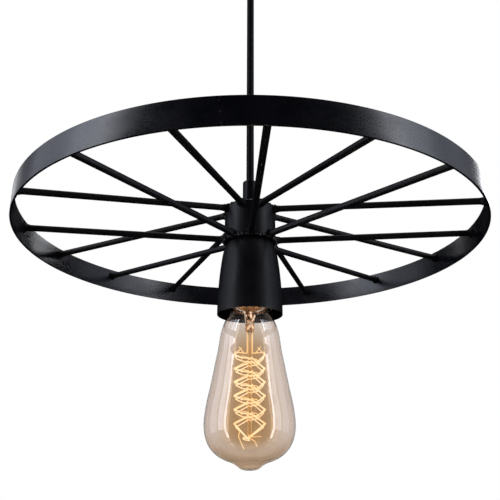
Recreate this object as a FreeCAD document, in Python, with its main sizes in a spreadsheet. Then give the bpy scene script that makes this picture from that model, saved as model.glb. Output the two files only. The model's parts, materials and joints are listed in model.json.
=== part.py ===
"""Wagon wheel chandelier with one filament bulb, hung on a cord from a ceiling canopy.

The origin is the centre of the bracket's ceiling face, +Z is up, and lengths are millimetres.
The wheel (rim, spokes and hub), the socket cup and the lampholder hang on the cord.
"""
import FreeCAD, Part
import math
import os
import Sketcher

DIMENSIONS = {
    # wheel
    "wheel_drop": 305.0,            # ceiling to the middle of the rim
    "rim_radius": 175.0,
    "rim_height": 18.3,
    "rim_wall": 1.5,
    "spoke_radius": 2.4,
    "spoke_rise": 3.3,              # where a spoke meets the rim, above the rim's middle
    "spoke_phase": 3.0,             # degrees, of the first spoke
    "hub_radius": 19.6,
    "hub_wall": 2.0,
    "hub_rise": 20.3,               # top edge of the hub above the rim's middle
    "hub_height": 28.1,
    "plate_rise": 6.0,              # underside of the hub plate above the hub's lower edge
    "plate_thickness": 2.0,
    # cord and its two grips
    "cord_radius": 3.0,
    "grip_radius": 5.8,
    "grip_wall": 1.9,
    "grip_chamfer": 0.8,
    "shank_radius": 5.0,            # M10 x 1 thread
    "shank_bore": 3.3,
    "lower_grip_top": 43.7,         # above the rim's middle
    "upper_grip_length": 20.0,
    "bush_length": 18.0,
    "pivot_inset": 1.8,             # the cord bends this far above the upper grip's mouth
    "flare_rise": 1.2,              # the mouth starts to widen this far above the bend
    "flare_radius": 5.3,
    "bend_clearance": 0.05,
    "bend_cut": 0.6,
    "grub_radius": 1.5,
    "grub_inset": 7.0,
    "grub_recess": 0.2,
    "bush_inset": 1.0,
    "shank_end": 2.0,               # shank that stands out of its nut
    "nut_flats": 14.0,
    "nut_thickness": 3.0,
    "washer_radius": 9.0,
    "washer_thickness": 1.0,
    "thread_clearance": 0.02,
    "hole_clearance": 0.3,
    # socket cup
    "cup_top_radius": 11.5,
    "cup_shoulder_radius": 21.0,
    "cup_shoulder_drop": 18.0,
    "cup_shoulder_bend": 31.0,
    "cup_mouth_radius": 24.2,
    "cup_side_bend": 300.0,
    "cup_length": 62.9,
    "cup_wall": 1.0,
    # lampholder
    "holder_gap": 1.0,              # lower lock nut to the holder's cap
    "holder_neck_radius": 8.5,
    "holder_neck_length": 7.0,
    "holder_radius": 16.0,
    "holder_wall": 1.4,
    "holder_cap_length": 18.0,
    "holder_cap_roof": 1.0,
    "holder_cap_corner": 2.0,
    "holder_cap_slope": 3.0,
    "holder_length": 53.0,
    "insert_thickness": 6.5,
    "contact_thickness": 0.5,
    "contact_width": 6.0,
    "contact_length": 14.0,
    "screw_radius": 1.5,
    "terminal_head_radius": 2.6,
    "terminal_head_height": 2.0,
    "live_offset": 5.0,
    "neutral_offset": 11.5,
    # bulb
    "cap_seat": 0.1,                # screwed-in cap's open rim above the holder's lower edge
    "button_radius": 4.6,
    "button_height": 1.4,
    "insulator_height": 3.1,
    "insulator_inset": 1.0,
    "cap_radius": 12.2,
    "cap_wall": 0.5,
    "cap_length": 27.0,
    "cap_lip": 13.2,
    "cap_lip_height": 2.0,
    "cap_lip_slope": 1.7,
    "thread_rise": 5.55,            # cap's open rim to the first turn of its thread
    "shell_lead": 1.55,             # shell's open rim to the first turn
    "thread_pitch": 3.629,          # E26 and E27
    "thread_turns": 4.5,
    "cap_thread_radius": 0.95,
    "shell_radius": 13.65,
    "shell_wall": 0.4,
    "shell_flange_radius": 9.0,
    "shell_thread_radius": 0.9,
    "bulb_length": 140.0,
    "glass_wall": 0.7,
    "glass_inset": 1.6,             # how far the glass reaches into the cap
    "tip_solid_radius": 9.0,
    "stem_drop": 40.0,              # bulb's contact to the stem's pinch
    "stem_edge": 1.0,
    "rod_radius": 1.3,
    "rod_cone": 2.0,
    "wire_radius": 0.35,
    "lead_offset": 2.3,
    "lead_bend": 1.0,
    "lead_run": 2.5,                # straight end of a lead, in line with the filament's end
    "filament_radius": 0.4,
    "filament_bend": 0.9,
    "filament_tail": 1.6,
    "coil_radius": 10.7,
    "coil_step": 9.6,               # fall of the filament in half a turn
    "coil_drop": 61.0,              # bulb's contact to the top of the filament
    "coil_link_drop": 10.0,         # last side hooks to the bottom hook
    "support_radius": 0.2,
    # ceiling fitting
    "canopy_radius": 50.0,
    "canopy_height": 25.0,
    "canopy_wall": 1.0,
    "canopy_corner": 5.0,
    "bracket_length": 90.0,
    "bracket_width": 20.0,
    "bracket_thickness": 1.5,
    "bracket_step": 4.5,            # how far the ends stand off the ceiling
    "bracket_flat": 66.0,
    "bracket_slope": 3.0,
    "bracket_fold": 1.0,
    "slot_spacing": 50.0,
    "slot_length": 12.0,
    "slot_width": 4.8,
    "canopy_screw_spacing": 80.0,
    "canopy_screw_radius": 2.0,
    "canopy_screw_length": 27.0,
    "screw_head_radius": 3.5,
    "screw_head_height": 2.4,
    "small_nut_flats": 7.0,
    "small_nut_thickness": 3.0,
    "cap_nut_radius": 4.0,
    "cap_nut_height": 8.0,
    "cap_nut_crown": 1.5,
    "block_length": 20.0,
    "block_width": 14.0,
    "block_height": 11.0,
    "pole_spacing": 11.0,
    "insert_radius": 2.4,
    "insert_inset": 1.0,
    "clamp_radius": 1.4,
    "clamp_length": 3.0,
    "clamp_offset": 3.5,
    "clamp_tip": 0.6,
    "recess_radius": 2.8,
    "recess_depth": 3.0,
    "fixing_head_radius": 2.6,
    "fixing_head_height": 2.0,
    "conductor_radius": 0.9,
    "conductor_clearance": 0.2,
    "conductor_split": 0.1,
    "conductor_bend": 1.5,
    "conductor_run": 2.2,
    "conductor_spread": 3.3,
    "conductor_loop": 7.0,
}

SPOKE_COUNT = 16
COIL_HALF_TURNS = 5
OVERCUT = 1.0                       # how far a cutting tool runs past its piece
ROOM = 5.0                          # half height of the space that trims a rod to length
# How far each outer end was welded off its even division, in degrees, from the first spoke on.
SPOKE_LEAN = (0.5, 1.5, 1.5, 1.5, -1.0, -3.5, -1.5, 1.0, 0.0, 0.5, 0.0, 0.0, -2.0, -2.0, 1.0, 2.5)

# Outline of the bulb's glass: distance below the contact and radius.
GLASS_OUTLINE = ((31.5, 15.8), (38.7, 19.3), (59.5, 23.4), (82.5, 27.8), (100.0, 31.2), (110.0, 32.0),
                 (118.0, 30.9), (125.0, 27.8), (130.0, 23.0), (133.6, 16.6), (135.4, 11.6), (137.2, 8.6),
                 (138.9, 6.4), (139.8, 3.4), (140.0, 0.0))

# The flared stem, as (radius, height above the pinch), up its inside and down its outside.
STEM_INSIDE = ((0.0, 0.0), (2.2, 2.0), (3.0, 6.0))
STEM_OUTSIDE = ((4.2, 5.0), (3.4, 0.0), (3.4, -6.0))

# Directions of the glass outline at its ends, as (across, up).
NECK_DIRECTION = (0.2, -1.0)
TIP_DIRECTION = (-1.0, -0.6)

doc = FreeCAD.newDocument("wagon_wheel_chandelier")
sheet = doc.addObject("Spreadsheet::Sheet", "sizes")
sheet.Label = "sizes"


class Length:
    """A size with the spreadsheet expression that gives it."""

    def __init__(self, value, text=None):
        self.value = value
        self.text = repr(value) if text is None else text

    def combine(self, other, sign, result):
        other = other if isinstance(other, Length) else Length(float(other))
        return Length(result(self.value, other.value), f"({self.text} {sign} {other.text})")

    def __add__(self, other):
        return self.combine(other, "+", lambda a, b: a + b)

    def __sub__(self, other):
        return self.combine(other, "-", lambda a, b: a - b)

    def __mul__(self, other):
        return self.combine(other, "*", lambda a, b: a * b)

    def __truediv__(self, other):
        return self.combine(other, "/", lambda a, b: a / b)

    def __neg__(self):
        return Length(-self.value, f"(0 - {self.text})")


ZERO = Length(0.0, "0")


class Sizes:
    """Writes the driving dimensions to the spreadsheet and hands each one out by name."""

    def __init__(self, dimensions):
        self.dimensions = dimensions
        for row, (name, value) in enumerate(dimensions.items(), start=1):
            sheet.set(f"A{row}", name)
            sheet.set(f"B{row}", str(value))
            sheet.setAlias(f"B{row}", name)

    def __getattr__(self, name):
        return Length(self.dimensions[name], f"sizes.{name}")


d = Sizes(DIMENSIONS)
doc.recompute()
parts = []


def vector(x=0.0, y=0.0, z=0.0):
    return FreeCAD.Vector(x, y, z)


def keep(item, name):
    """Names a finished sub-part and puts it on the list of pieces that are written."""
    item.Label = name
    parts.append(item)
    return item


def bind(item, **sizes):
    """Binds properties of an object to sizes."""
    for name, size in sizes.items():
        item.setExpression(name, size.text)
    return item


def origin_plane(body, role):
    return next(f for f in body.Origin.OriginFeatures if f.Role == role)


def outline_sketch(body, corners, role):
    """A closed outline in an origin plane, each corner tied to two sizes.

    A corner is (across, up) for a straight side to the next corner, or (across, up, radius, side)
    for an arc to it, which bulges to the "left" or the "right" of its chord.
    """
    sketch = body.newObject("Sketcher::SketchObject", body.Name + "_outline")
    sketch.AttachmentSupport = [(origin_plane(body, role), "")]
    sketch.MapMode = "FlatFace"
    ends = []
    for index, corner in enumerate(corners):
        start = vector(corner[0].value, corner[1].value)
        following = corners[(index + 1) % len(corners)]
        stop = vector(following[0].value, following[1].value)
        if len(corner) == 2:
            sketch.addGeometry(Part.LineSegment(start, stop), False)
            ends.append((1, 2))
            continue
        # an arc runs anticlockwise in its sketch, so one that bulges left is stored end first
        ends.append((2, 1) if corner[3] == "left" else (1, 2))
        if corner[3] == "left":
            start, stop = stop, start
        chord = stop - start
        outward = vector(chord.y, -chord.x) / chord.Length
        radius = corner[2].value
        depth = radius - math.sqrt(radius ** 2 - chord.Length ** 2 / 4)
        sketch.addGeometry(Part.Arc(start, (start + stop) / 2 + outward * depth, stop), False)
    for index, corner in enumerate(corners):
        after = (index + 1) % len(corners)
        sketch.addConstraint(Sketcher.Constraint("Coincident", index, ends[index][1], after, ends[after][0]))
        for kind, size in (("DistanceX", corner[0]), ("DistanceY", corner[1])):
            tie = Sketcher.Constraint(kind, -1, 1, index, ends[index][0], size.value)
            number = sketch.addConstraint(tie)
            sketch.setExpression(f"Constraints[{number}]", size.text)
        if len(corner) > 2:
            number = sketch.addConstraint(Sketcher.Constraint("Radius", index, corner[2].value))
            sketch.setExpression(f"Constraints[{number}]", corner[2].text)
    return sketch


def turned(name, corners):
    """A body turned about Z from an outline of (radius, height) corners."""
    body = doc.addObject("PartDesign::Body", name)
    sketch = outline_sketch(body, corners, "XZ_Plane")
    feature = body.newObject("PartDesign::Revolution", name + "_turn")
    feature.Profile = sketch
    feature.ReferenceAxis = (sketch, ["V_Axis"])
    feature.Angle = 360
    sketch.Visibility = False
    return body


def ring_corners(inner, outer, low, high):
    return [(inner, low), (outer, low), (outer, high), (inner, high)]


def ring(name, inner, outer, low, high):
    return turned(name, ring_corners(inner, outer, low, high))


def disc(name, radius, low, high):
    return turned(name, ring_corners(ZERO, radius, low, high))


def extruded(name, corners, role, length):
    """A body padded both ways from an outline in an origin plane."""
    body = doc.addObject("PartDesign::Body", name)
    sketch = outline_sketch(body, corners, role)
    feature = body.newObject("PartDesign::Pad", name + "_pad")
    feature.Profile = sketch
    feature.Midplane = True
    feature.setExpression("Length", length.text)
    sketch.Visibility = False
    return body


def primitive(kind, name, at=(ZERO, ZERO, ZERO), turn=None, **sizes):
    """A Part primitive with its sizes and its place bound to the sheet."""
    item = doc.addObject(kind, name)
    if turn is not None:
        item.Placement = FreeCAD.Placement(vector(), turn)
    for axis, size in zip("xyz", at):
        item.setExpression(f"Placement.Base.{axis}", size.text)
    return bind(item, **sizes)


def cylinder(name, radius, height, at=(ZERO, ZERO, ZERO), turn=None):
    return primitive("Part::Cylinder", name, at, turn, Radius=radius, Height=height)


def cut(name, base, tool):
    item = doc.addObject("Part::Cut", name)
    item.Base = base
    item.Tool = tool
    return item


def joined(name, shapes):
    item = doc.addObject("Part::MultiFuse", name)
    item.Shapes = shapes
    return item


def group(name, shapes):
    """Separate solids that share one node."""
    item = doc.addObject("Part::Compound", name)
    item.Links = shapes
    return item


def hex_nut(name, flats, bore, low, thickness):
    """A hexagonal nut about Z."""
    prism = doc.addObject("Part::Prism", name + "_prism")
    prism.Polygon = 6
    prism.setExpression("Circumradius", (flats / Length(math.sqrt(3.0))).text)
    prism.setExpression("Height", thickness.text)
    prism.setExpression("Placement.Base.z", low.text)
    hole = cylinder(name + "_bore", bore, thickness + 2 * OVERCUT, (ZERO, ZERO, low - OVERCUT))
    return cut(name, prism, hole)


# Levels along the axis, from the ceiling down.
wheel_level = -d.wheel_drop
hub_top = wheel_level + d.hub_rise
hub_bottom = hub_top - d.hub_height
plate_bottom = hub_bottom + d.plate_rise
plate_top = plate_bottom + d.plate_thickness
grip_bottom = plate_top + d.nut_thickness
grip_top = wheel_level + d.lower_grip_top
cup_mouth = plate_bottom - d.cup_length
cup_inside = plate_bottom - d.cup_wall
washer_bottom = cup_inside - d.washer_thickness
lower_nut_bottom = washer_bottom - d.nut_thickness
holder_top = lower_nut_bottom - d.holder_gap
holder_bottom = holder_top - d.holder_length
shank_bottom = holder_top - d.holder_neck_length
cap_bottom = holder_bottom + d.cap_seat
bulb_top = cap_bottom + d.cap_length
thread_start = cap_bottom + d.thread_rise
shell_bottom = thread_start - d.shell_lead
insert_bottom = bulb_top + d.contact_thickness
insert_top = insert_bottom + d.insert_thickness
canopy_floor = -d.canopy_height
canopy_floor_inside = canopy_floor + d.canopy_wall
upper_grip_mouth = canopy_floor - d.upper_grip_length
pivot_level = upper_grip_mouth + d.pivot_inset
flare_top = pivot_level + d.flare_rise
grip_bore = d.grip_radius - d.grip_wall
nut_bore = d.shank_radius + d.thread_clearance
shank_hole = d.shank_radius + d.hole_clearance
upper_shank_top = canopy_floor_inside + d.nut_thickness + d.shank_end
inside_hub = d.hub_radius - d.hub_wall


def wheel():
    """The rolled rim, the hub tube with its plate, and the spokes between hub and rim."""
    half = d.rim_height / 2
    keep(ring("rim", d.rim_radius - d.rim_wall, d.rim_radius, wheel_level - half, wheel_level + half), "rim")
    keep(ring("hub_tube", inside_hub, d.hub_radius, hub_bottom, hub_top), "hub_tube")
    keep(ring("hub_plate", shank_hole, inside_hub, plate_bottom, plate_top), "hub_plate")
    for index in range(SPOKE_COUNT):
        spoke(index)


def spoke(index):
    """One rod from the hub's face to the rim's inner face, coped to both."""
    upper = index % 2 == 1
    name = f"spoke_{index + 1:02d}_" + ("upper" if upper else "lower")
    even = math.radians(DIMENSIONS["spoke_phase"] + index * 360 / SPOKE_COUNT - 90)
    outer = even + math.radians(SPOKE_LEAN[index])
    rim_reach = d.rim_radius.value
    hub_reach = inside_hub.value
    inner_level = (hub_top - d.spoke_radius if upper else hub_bottom + d.spoke_radius).value
    start = vector(hub_reach * math.cos(even), hub_reach * math.sin(even), inner_level)
    outer_level = (wheel_level + d.spoke_rise).value
    stop = vector(rim_reach * math.cos(outer), rim_reach * math.sin(outer), outer_level)
    rod = doc.addObject("Part::Cylinder", name + "_rod")
    rod.setExpression("Radius", d.spoke_radius.text)
    rod.Height = (stop - start).Length
    rod.Placement = FreeCAD.Placement(start, FreeCAD.Rotation(vector(z=1), stop - start))
    room = ring(name + "_room", d.hub_radius, d.rim_radius - d.rim_wall, hub_bottom - ROOM, hub_top + ROOM)
    item = doc.addObject("Part::Common", name)
    item.Base = rod
    item.Tool = room
    keep(item, name)


def cord_grips():
    """The cord grip on the hub and the one under the canopy, each with its bush, grub screw and nut."""
    chamfer = d.grip_chamfer
    bush_bottom = grip_top - d.bush_length
    body = turned("lower_grip_body", [
        (d.shank_bore, shank_bottom), (d.shank_radius, shank_bottom), (d.shank_radius, grip_bottom),
        (d.grip_radius, grip_bottom), (d.grip_radius, grip_top - chamfer), (d.grip_radius - chamfer, grip_top),
        (grip_bore, grip_top), (grip_bore, bush_bottom), (d.shank_bore, bush_bottom)])
    finish_grip("lower_grip", body, grip_top - d.grub_inset)
    keep(ring("lower_grip_bush", d.cord_radius, grip_bore, bush_bottom, grip_top), "lower_grip_bush")
    keep(hex_nut("hub_lock_nut", d.nut_flats, nut_bore, plate_top, d.nut_thickness), "hub_lock_nut")

    bush_top = canopy_floor - d.bush_inset
    mouth = upper_grip_mouth
    flare_slope = (d.flare_rise + d.pivot_inset) / (d.flare_radius - d.cord_radius)
    bush_end = flare_top - (grip_bore - d.cord_radius) * flare_slope
    body = turned("upper_grip_body", [
        (d.flare_radius, mouth), (d.grip_radius, mouth), (d.grip_radius, canopy_floor),
        (d.shank_radius, canopy_floor), (d.shank_radius, upper_shank_top), (d.shank_bore, upper_shank_top),
        (d.shank_bore, bush_top), (grip_bore, bush_top), (grip_bore, bush_end)])
    finish_grip("upper_grip", body, canopy_floor - d.grub_inset)
    keep(turned("upper_grip_bush", [
        (d.cord_radius, bush_top), (d.cord_radius, flare_top), (grip_bore, bush_end),
        (grip_bore, bush_top)]), "upper_grip_bush")
    keep(hex_nut("upper_grip_nut", d.nut_flats, nut_bore, canopy_floor_inside, d.nut_thickness),
         "upper_grip_nut")


def finish_grip(name, body, level):
    """Drills the side hole of a grip, away from the viewer, and fits its grub screw."""
    back = FreeCAD.Rotation(vector(x=1), -90)
    tool = cylinder(name + "_side_hole", d.grub_radius + d.thread_clearance, d.grip_radius,
                    (ZERO, ZERO, level), back)
    keep(cut(name, body, tool), name)
    bar = cylinder(name + "_grub_bar", d.grub_radius, d.grip_radius, (ZERO, ZERO, level), back)
    room = ring(name + "_grub_room", grip_bore, d.grip_radius - d.grub_recess, level - ROOM, level + ROOM)
    screw = doc.addObject("Part::Common", name + "_grub_screw")
    screw.Base = bar
    screw.Tool = room
    both = doc.addObject("Part::Common", name + "_grub")
    both.Base = screw
    both.Tool = half_room(name, level)
    keep(both, name + "_screw")


def half_room(name, level):
    """The half of the space that lies away from the viewer."""
    return primitive("Part::Box", name + "_half", (-d.grip_radius, ZERO, level - ROOM), None,
                     Length=d.grip_radius * 2, Width=d.grip_radius, Height=Length(2 * ROOM))


def socket_cup():
    """The spun bell, held to the hub plate by a washer and the lower lock nut."""
    wall = d.cup_wall
    shoulder = plate_bottom - d.cup_shoulder_drop
    keep(turned("socket_cup", [
        (shank_hole, plate_bottom), (shank_hole, cup_inside),
        (d.cup_top_radius - wall / 2, cup_inside, d.cup_shoulder_bend - wall, "left"),
        (d.cup_shoulder_radius - wall, shoulder, d.cup_side_bend - wall, "left"),
        (d.cup_mouth_radius - wall, cup_mouth),
        (d.cup_mouth_radius, cup_mouth, d.cup_side_bend, "right"),
        (d.cup_shoulder_radius, shoulder, d.cup_shoulder_bend, "right"),
        (d.cup_top_radius, plate_bottom)]), "socket_cup")
    keep(ring("cup_washer", shank_hole, d.washer_radius, washer_bottom, cup_inside), "cup_washer")
    keep(hex_nut("cup_lock_nut", d.nut_flats, nut_bore, lower_nut_bottom, d.nut_thickness), "cup_lock_nut")


def thread(name, radius, wire, start):
    """A round helical ridge about Z, one pitch a turn, right-handed."""
    helix = primitive("Part::Helix", name + "_helix", (ZERO, ZERO, start), None, Pitch=d.thread_pitch,
                      Radius=radius, Height=d.thread_pitch * d.thread_turns)
    section = primitive("Part::Circle", name + "_section", (radius, ZERO, start),
                        FreeCAD.Rotation(vector(x=1), 90), Radius=wire)
    doc.recompute()
    sweep = doc.addObject("Part::Sweep", name)
    sweep.Sections = [section]
    sweep.Spine = (helix, [f"Edge{number + 1}" for number in range(len(helix.Shape.Edges))])
    sweep.Solid = True
    sweep.Frenet = True
    return sweep


def lampholder():
    """Cap, insert, skirt, screw shell, centre contact and terminal screws."""
    inside = d.holder_radius - d.holder_wall
    neck_bottom = holder_top - d.holder_neck_length
    joint = holder_top - d.holder_cap_length
    roof = neck_bottom - d.holder_cap_roof
    slope = d.holder_cap_slope
    keep(turned("holder_cap", [
        (nut_bore, holder_top), (nut_bore, neck_bottom), (inside - d.holder_cap_corner, roof),
        (inside, roof - slope), (inside, joint), (d.holder_radius, joint),
        (d.holder_radius, neck_bottom - slope), (d.holder_neck_radius, neck_bottom + slope),
        (d.holder_neck_radius, holder_top)]), "holder_cap")
    keep(ring("holder_skirt", inside, d.holder_radius, holder_bottom, joint), "holder_skirt")
    insert = disc("holder_insert_blank", inside, insert_bottom, insert_top)
    through = d.insert_thickness + 2 * OVERCUT
    holes = group("holder_insert_holes", [
        cylinder(f"holder_insert_hole_{side}", d.screw_radius + d.thread_clearance, through,
                 (offset, ZERO, insert_bottom - OVERCUT)) for side, offset in terminal_offsets()])
    keep(cut("holder_insert", insert, holes), "holder_insert")
    keep(group("holder_screws", [
        joined(f"holder_screw_{side}", [
            cylinder(f"holder_screw_{side}_shank", d.screw_radius, d.insert_thickness,
                     (offset, ZERO, insert_bottom)),
            cylinder(f"holder_screw_{side}_head", d.terminal_head_radius, d.terminal_head_height,
                     (offset, ZERO, insert_top))]) for side, offset in terminal_offsets()]), "holder_screws")
    keep(primitive("Part::Box", "centre_contact", (-d.contact_length / 2, -d.contact_width / 2, bulb_top), None,
                   Length=d.contact_length, Width=d.contact_width, Height=d.contact_thickness),
         "centre_contact")
    shell = turned("screw_shell_blank", [
        (d.shell_radius, shell_bottom), (d.shell_radius + d.shell_wall, shell_bottom),
        (d.shell_radius + d.shell_wall, insert_bottom), (d.shell_flange_radius, insert_bottom),
        (d.shell_flange_radius, insert_bottom - d.shell_wall), (d.shell_radius, insert_bottom - d.shell_wall)])
    ridge = thread("screw_shell_thread", d.shell_radius, d.shell_thread_radius,
                   thread_start + d.thread_pitch / 2)
    keep(joined("screw_shell", [shell, ridge]), "screw_shell")


def terminal_offsets():
    """Where the live and the neutral terminal screws stand, along X."""
    return (("live", d.live_offset), ("neutral", -d.neutral_offset))


def bulb():
    """Contact button, insulator, threaded cap, glass, stem, leads, supports and filament."""
    button_bottom = bulb_top - d.button_height
    inside = d.cap_radius - d.cap_wall
    cap_top = button_bottom - d.insulator_height
    cap_ceiling = cap_top - d.insulator_inset
    lip_inside = d.cap_lip - d.cap_wall
    lip_top = cap_bottom + d.cap_lip_height
    slope_top = lip_top + d.cap_lip_slope
    keep(disc("cap_button", d.button_radius, button_bottom, bulb_top), "cap_button")
    keep(turned("cap_insulator", [
        (ZERO, cap_ceiling), (inside, cap_ceiling), (inside, cap_top),
        (d.button_radius + d.insulator_inset, button_bottom), (ZERO, button_bottom)]), "cap_insulator")
    shell = turned("bulb_cap_blank", [
        (inside, cap_top), (inside, slope_top), (lip_inside, lip_top), (lip_inside, cap_bottom),
        (d.cap_lip, cap_bottom), (d.cap_lip, lip_top), (d.cap_radius, slope_top), (d.cap_radius, cap_top)])
    ridge = thread("bulb_cap_thread", d.cap_radius, d.cap_thread_radius, thread_start)
    core = cylinder("bulb_cap_core", inside, d.cap_length, (ZERO, ZERO, cap_bottom))
    keep(cut("bulb_cap", joined("bulb_cap_solid", [shell, ridge]), core), "bulb_cap")
    glass(lip_inside)
    stem_and_wires(cap_ceiling, lip_inside)


def feature(name, shape):
    """A sub-part whose shape is a free form."""
    item = doc.addObject("Part::Feature", name)
    item.Shape = shape
    return item


def spun(outline):
    """A solid turned about Z from a closed list of edges."""
    return Part.Face(Part.Wire(outline)).revolve(vector(), vector(z=1), 360)


def glass(neck_radius):
    """The blown envelope: a straight neck in the cap's lip, then one smooth curve to the tip."""
    top = bulb_top.value
    wall = d.glass_wall.value
    scale = DIMENSIONS["bulb_length"] / GLASS_OUTLINE[-1][0]
    outside = [vector(radius, 0, top - depth * scale) for depth, radius in GLASS_OUTLINE]
    neck_top = vector(neck_radius.value, 0, (cap_bottom + d.glass_inset).value)
    neck_way = vector(NECK_DIRECTION[0], 0, NECK_DIRECTION[1])
    tip_way = vector(TIP_DIRECTION[0], 0, TIP_DIRECTION[1])
    outer_curve = Part.BSplineCurve()
    outer_curve.interpolate(Points=[vector(neck_radius.value, 0, cap_bottom.value)] + outside,
                            InitialTangent=neck_way, FinalTangent=tip_way)
    inner_curve = Part.BSplineCurve()
    inner_start = vector(neck_radius.value - wall, 0, cap_bottom.value)
    inner_curve.interpolate(Points=[inner_start] + inside_points(outside),
                            InitialTangent=neck_way, FinalTangent=vector(-1, 0, 0))
    inner_top = vector(neck_radius.value - wall, 0, neck_top.z)
    outer_tip = outer_curve.value(outer_curve.LastParameter)
    inner_tip = inner_curve.value(inner_curve.LastParameter)
    edges = [Part.LineSegment(inner_top, neck_top).toShape(),
             Part.LineSegment(neck_top, outer_curve.value(outer_curve.FirstParameter)).toShape(),
             outer_curve.toShape(),
             Part.LineSegment(outer_tip, inner_tip).toShape(),
             inner_curve.toShape(),
             Part.LineSegment(inner_curve.value(inner_curve.FirstParameter), inner_top).toShape()]
    keep(feature("bulb_glass", spun(edges)), "bulb_glass")


def inside_points(outside):
    """The glass outline moved in by the wall, square to itself; the tip is left solid."""
    wall = d.glass_wall.value
    moved = []
    for before, point, after in zip(outside, outside[1:], outside[2:]):
        along = after - before
        inward = vector(along.z, 0, -along.x) / along.Length
        if point.x > d.tip_solid_radius.value:
            moved.append(point + inward * wall)
    return moved + [vector(0, 0, moved[-1].z - wall)]


def rounded_wire(points, bend):
    """Straight runs joined by tangent arcs of one radius, as a wire."""
    edges = []
    here = points[0]
    for before, corner, after in zip(points, points[1:], points[2:]):
        back = (before - corner).normalize()
        ahead = (after - corner).normalize()
        half = back.getAngle(ahead) / 2
        reach = bend / math.tan(half)
        bisector = (back + ahead).normalize()
        middle = corner + bisector * (bend / math.sin(half) - bend)
        edges.append(Part.LineSegment(here, corner + back * reach).toShape())
        edges.append(Part.Arc(corner + back * reach, middle, corner + ahead * reach).toShape())
        here = corner + ahead * reach
    edges.append(Part.LineSegment(here, points[-1]).toShape())
    return Part.Wire(edges)


def tube(points, radius, bend=0.0):
    """A round solid along a route of straight runs and arcs."""
    path = rounded_wire(points, bend) if len(points) > 2 else Part.Wire(Part.LineSegment(*points).toShape())
    section = Part.Wire(Part.Circle(points[0], points[1] - points[0], radius).toShape())
    return path.makePipeShell([section], True, False)


def coil_point(quarter, side):
    """A hook of the filament's cage, counted in quarter turns from its top, starting left or right."""
    angle = math.pi * quarter / 2 + (math.pi if side == "left" else 0)
    radius = d.coil_radius.value
    level = (bulb_top - d.coil_drop).value - DIMENSIONS["coil_step"] * quarter / 2
    return vector(radius * math.cos(angle), radius * math.sin(angle), level)


def filament_route():
    """Down one side of the double winding, round the bottom hook and up the other side."""
    quarters = 2 * COIL_HALF_TURNS
    down = [coil_point(quarter, "left") for quarter in range(quarters + 1)]
    up = [coil_point(quarter, "right") for quarter in range(quarters, -1, -1)]
    bottom = vector(0, 0, down[-1].z - DIMENSIONS["coil_link_drop"])
    tail = vector(0, 0, d.filament_tail.value)
    return [down[0] + tail] + down + [bottom] + up + [up[-1] + tail]


def least_gap(route, radius):
    """Least distance between stretches of a route that aren't neighbours, less the wire."""
    steps = 12
    line = [a + (b - a) * (n / steps) for a, b in zip(route, route[1:]) for n in range(steps)]
    far = 3 * steps // 2
    nearest = min((line[a] - line[b]).Length for a in range(len(line)) for b in range(a + far, len(line)))
    return nearest - 2 * radius


def filament_supports(route, rod):
    """A hook wire from the rod to each side bend of the filament."""
    wires = []
    for corner in route[2:-2]:
        way = vector(corner.x, corner.y)
        if way.Length < rod:
            continue
        way.normalize()
        reach = d.filament_radius.value + d.filament_bend.value * 0.6
        wires.append(tube([vector(0, 0, corner.z) + way * rod, corner - way * reach], d.support_radius.value))
    return Part.Compound(wires)


def stem_and_wires(cap_ceiling, lip_inside):
    """The glass stem with its rod, the two leads, the supports and the filament."""
    wire = d.wire_radius.value
    neck = (lip_inside - d.glass_wall).value
    stem_top = (cap_bottom + d.stem_edge).value
    edge = d.stem_edge.value
    pinch = (bulb_top - d.stem_drop).value
    rod = d.rod_radius.value
    route = filament_route()
    strand = d.filament_radius.value
    keep(feature("filament", tube(route, strand, d.filament_bend.value)), "filament")
    print("filament least gap to itself (mm):", round(least_gap(route, strand), 2))
    rod_start = pinch + STEM_OUTSIDE[-1][1] - d.rod_cone.value
    rod_end = min(point.z for point in route) + 2 * strand + rod
    corners = [(radius, pinch + rise) for radius, rise in STEM_INSIDE]
    corners += [(neck - edge, stem_top), (neck, stem_top), (neck, stem_top - edge)]
    corners += [(radius, pinch + rise) for radius, rise in STEM_OUTSIDE]
    corners += [(rod, rod_start), (rod, rod_end), (0, rod_end)]
    points = [vector(x, 0, z) for x, z in corners]
    edges = [Part.LineSegment(a, b).toShape() for a, b in zip(points, points[1:] + points[:1])]
    glass_stem = spun(edges)
    leads = []
    for side, end in ((-1, route[0]), (1, route[-1])):
        x = side * d.lead_offset.value
        leads.append(tube([vector(x, 0, cap_ceiling.value), vector(x, 0, rod_start + edge),
                           end + vector(0, 0, d.lead_run.value), end], wire, d.lead_bend.value))
    keep(feature("lead_wires", Part.Compound(leads)), "lead_wires")
    keep(feature("glass_stem", glass_stem.cut(leads[0]).cut(leads[1])), "glass_stem")
    keep(feature("filament_supports", filament_supports(route, rod).cut(glass_stem)), "filament_supports")


def cord():
    """The free cord with the ball that it bends on, and its ends inside the two grips."""
    ball_radius = d.cord_radius - d.bend_clearance * 2
    ball = primitive("Part::Sphere", "cord_bend", (ZERO, ZERO, pivot_level), None, Radius=ball_radius)
    keep(ball, "cord_bend")
    free_length = pivot_level - d.bend_cut - grip_top
    straight = cylinder("cord_straight", d.cord_radius, free_length, (ZERO, ZERO, grip_top))
    hollow = primitive("Part::Sphere", "cord_hollow", (ZERO, ZERO, pivot_level), None,
                       Radius=ball_radius + d.bend_clearance)
    keep(cut("cord", straight, hollow), "cord")
    print("free cord (mm):", round(free_length.value, 1))
    tail_bottom = pivot_level + ball_radius
    keep(disc("cord_upper_end", d.cord_radius, tail_bottom, upper_shank_top), "cord_upper_end")
    keep(disc("cord_lower_end", d.cord_radius, shank_bottom - d.bush_inset, grip_top), "cord_lower_end")


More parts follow.
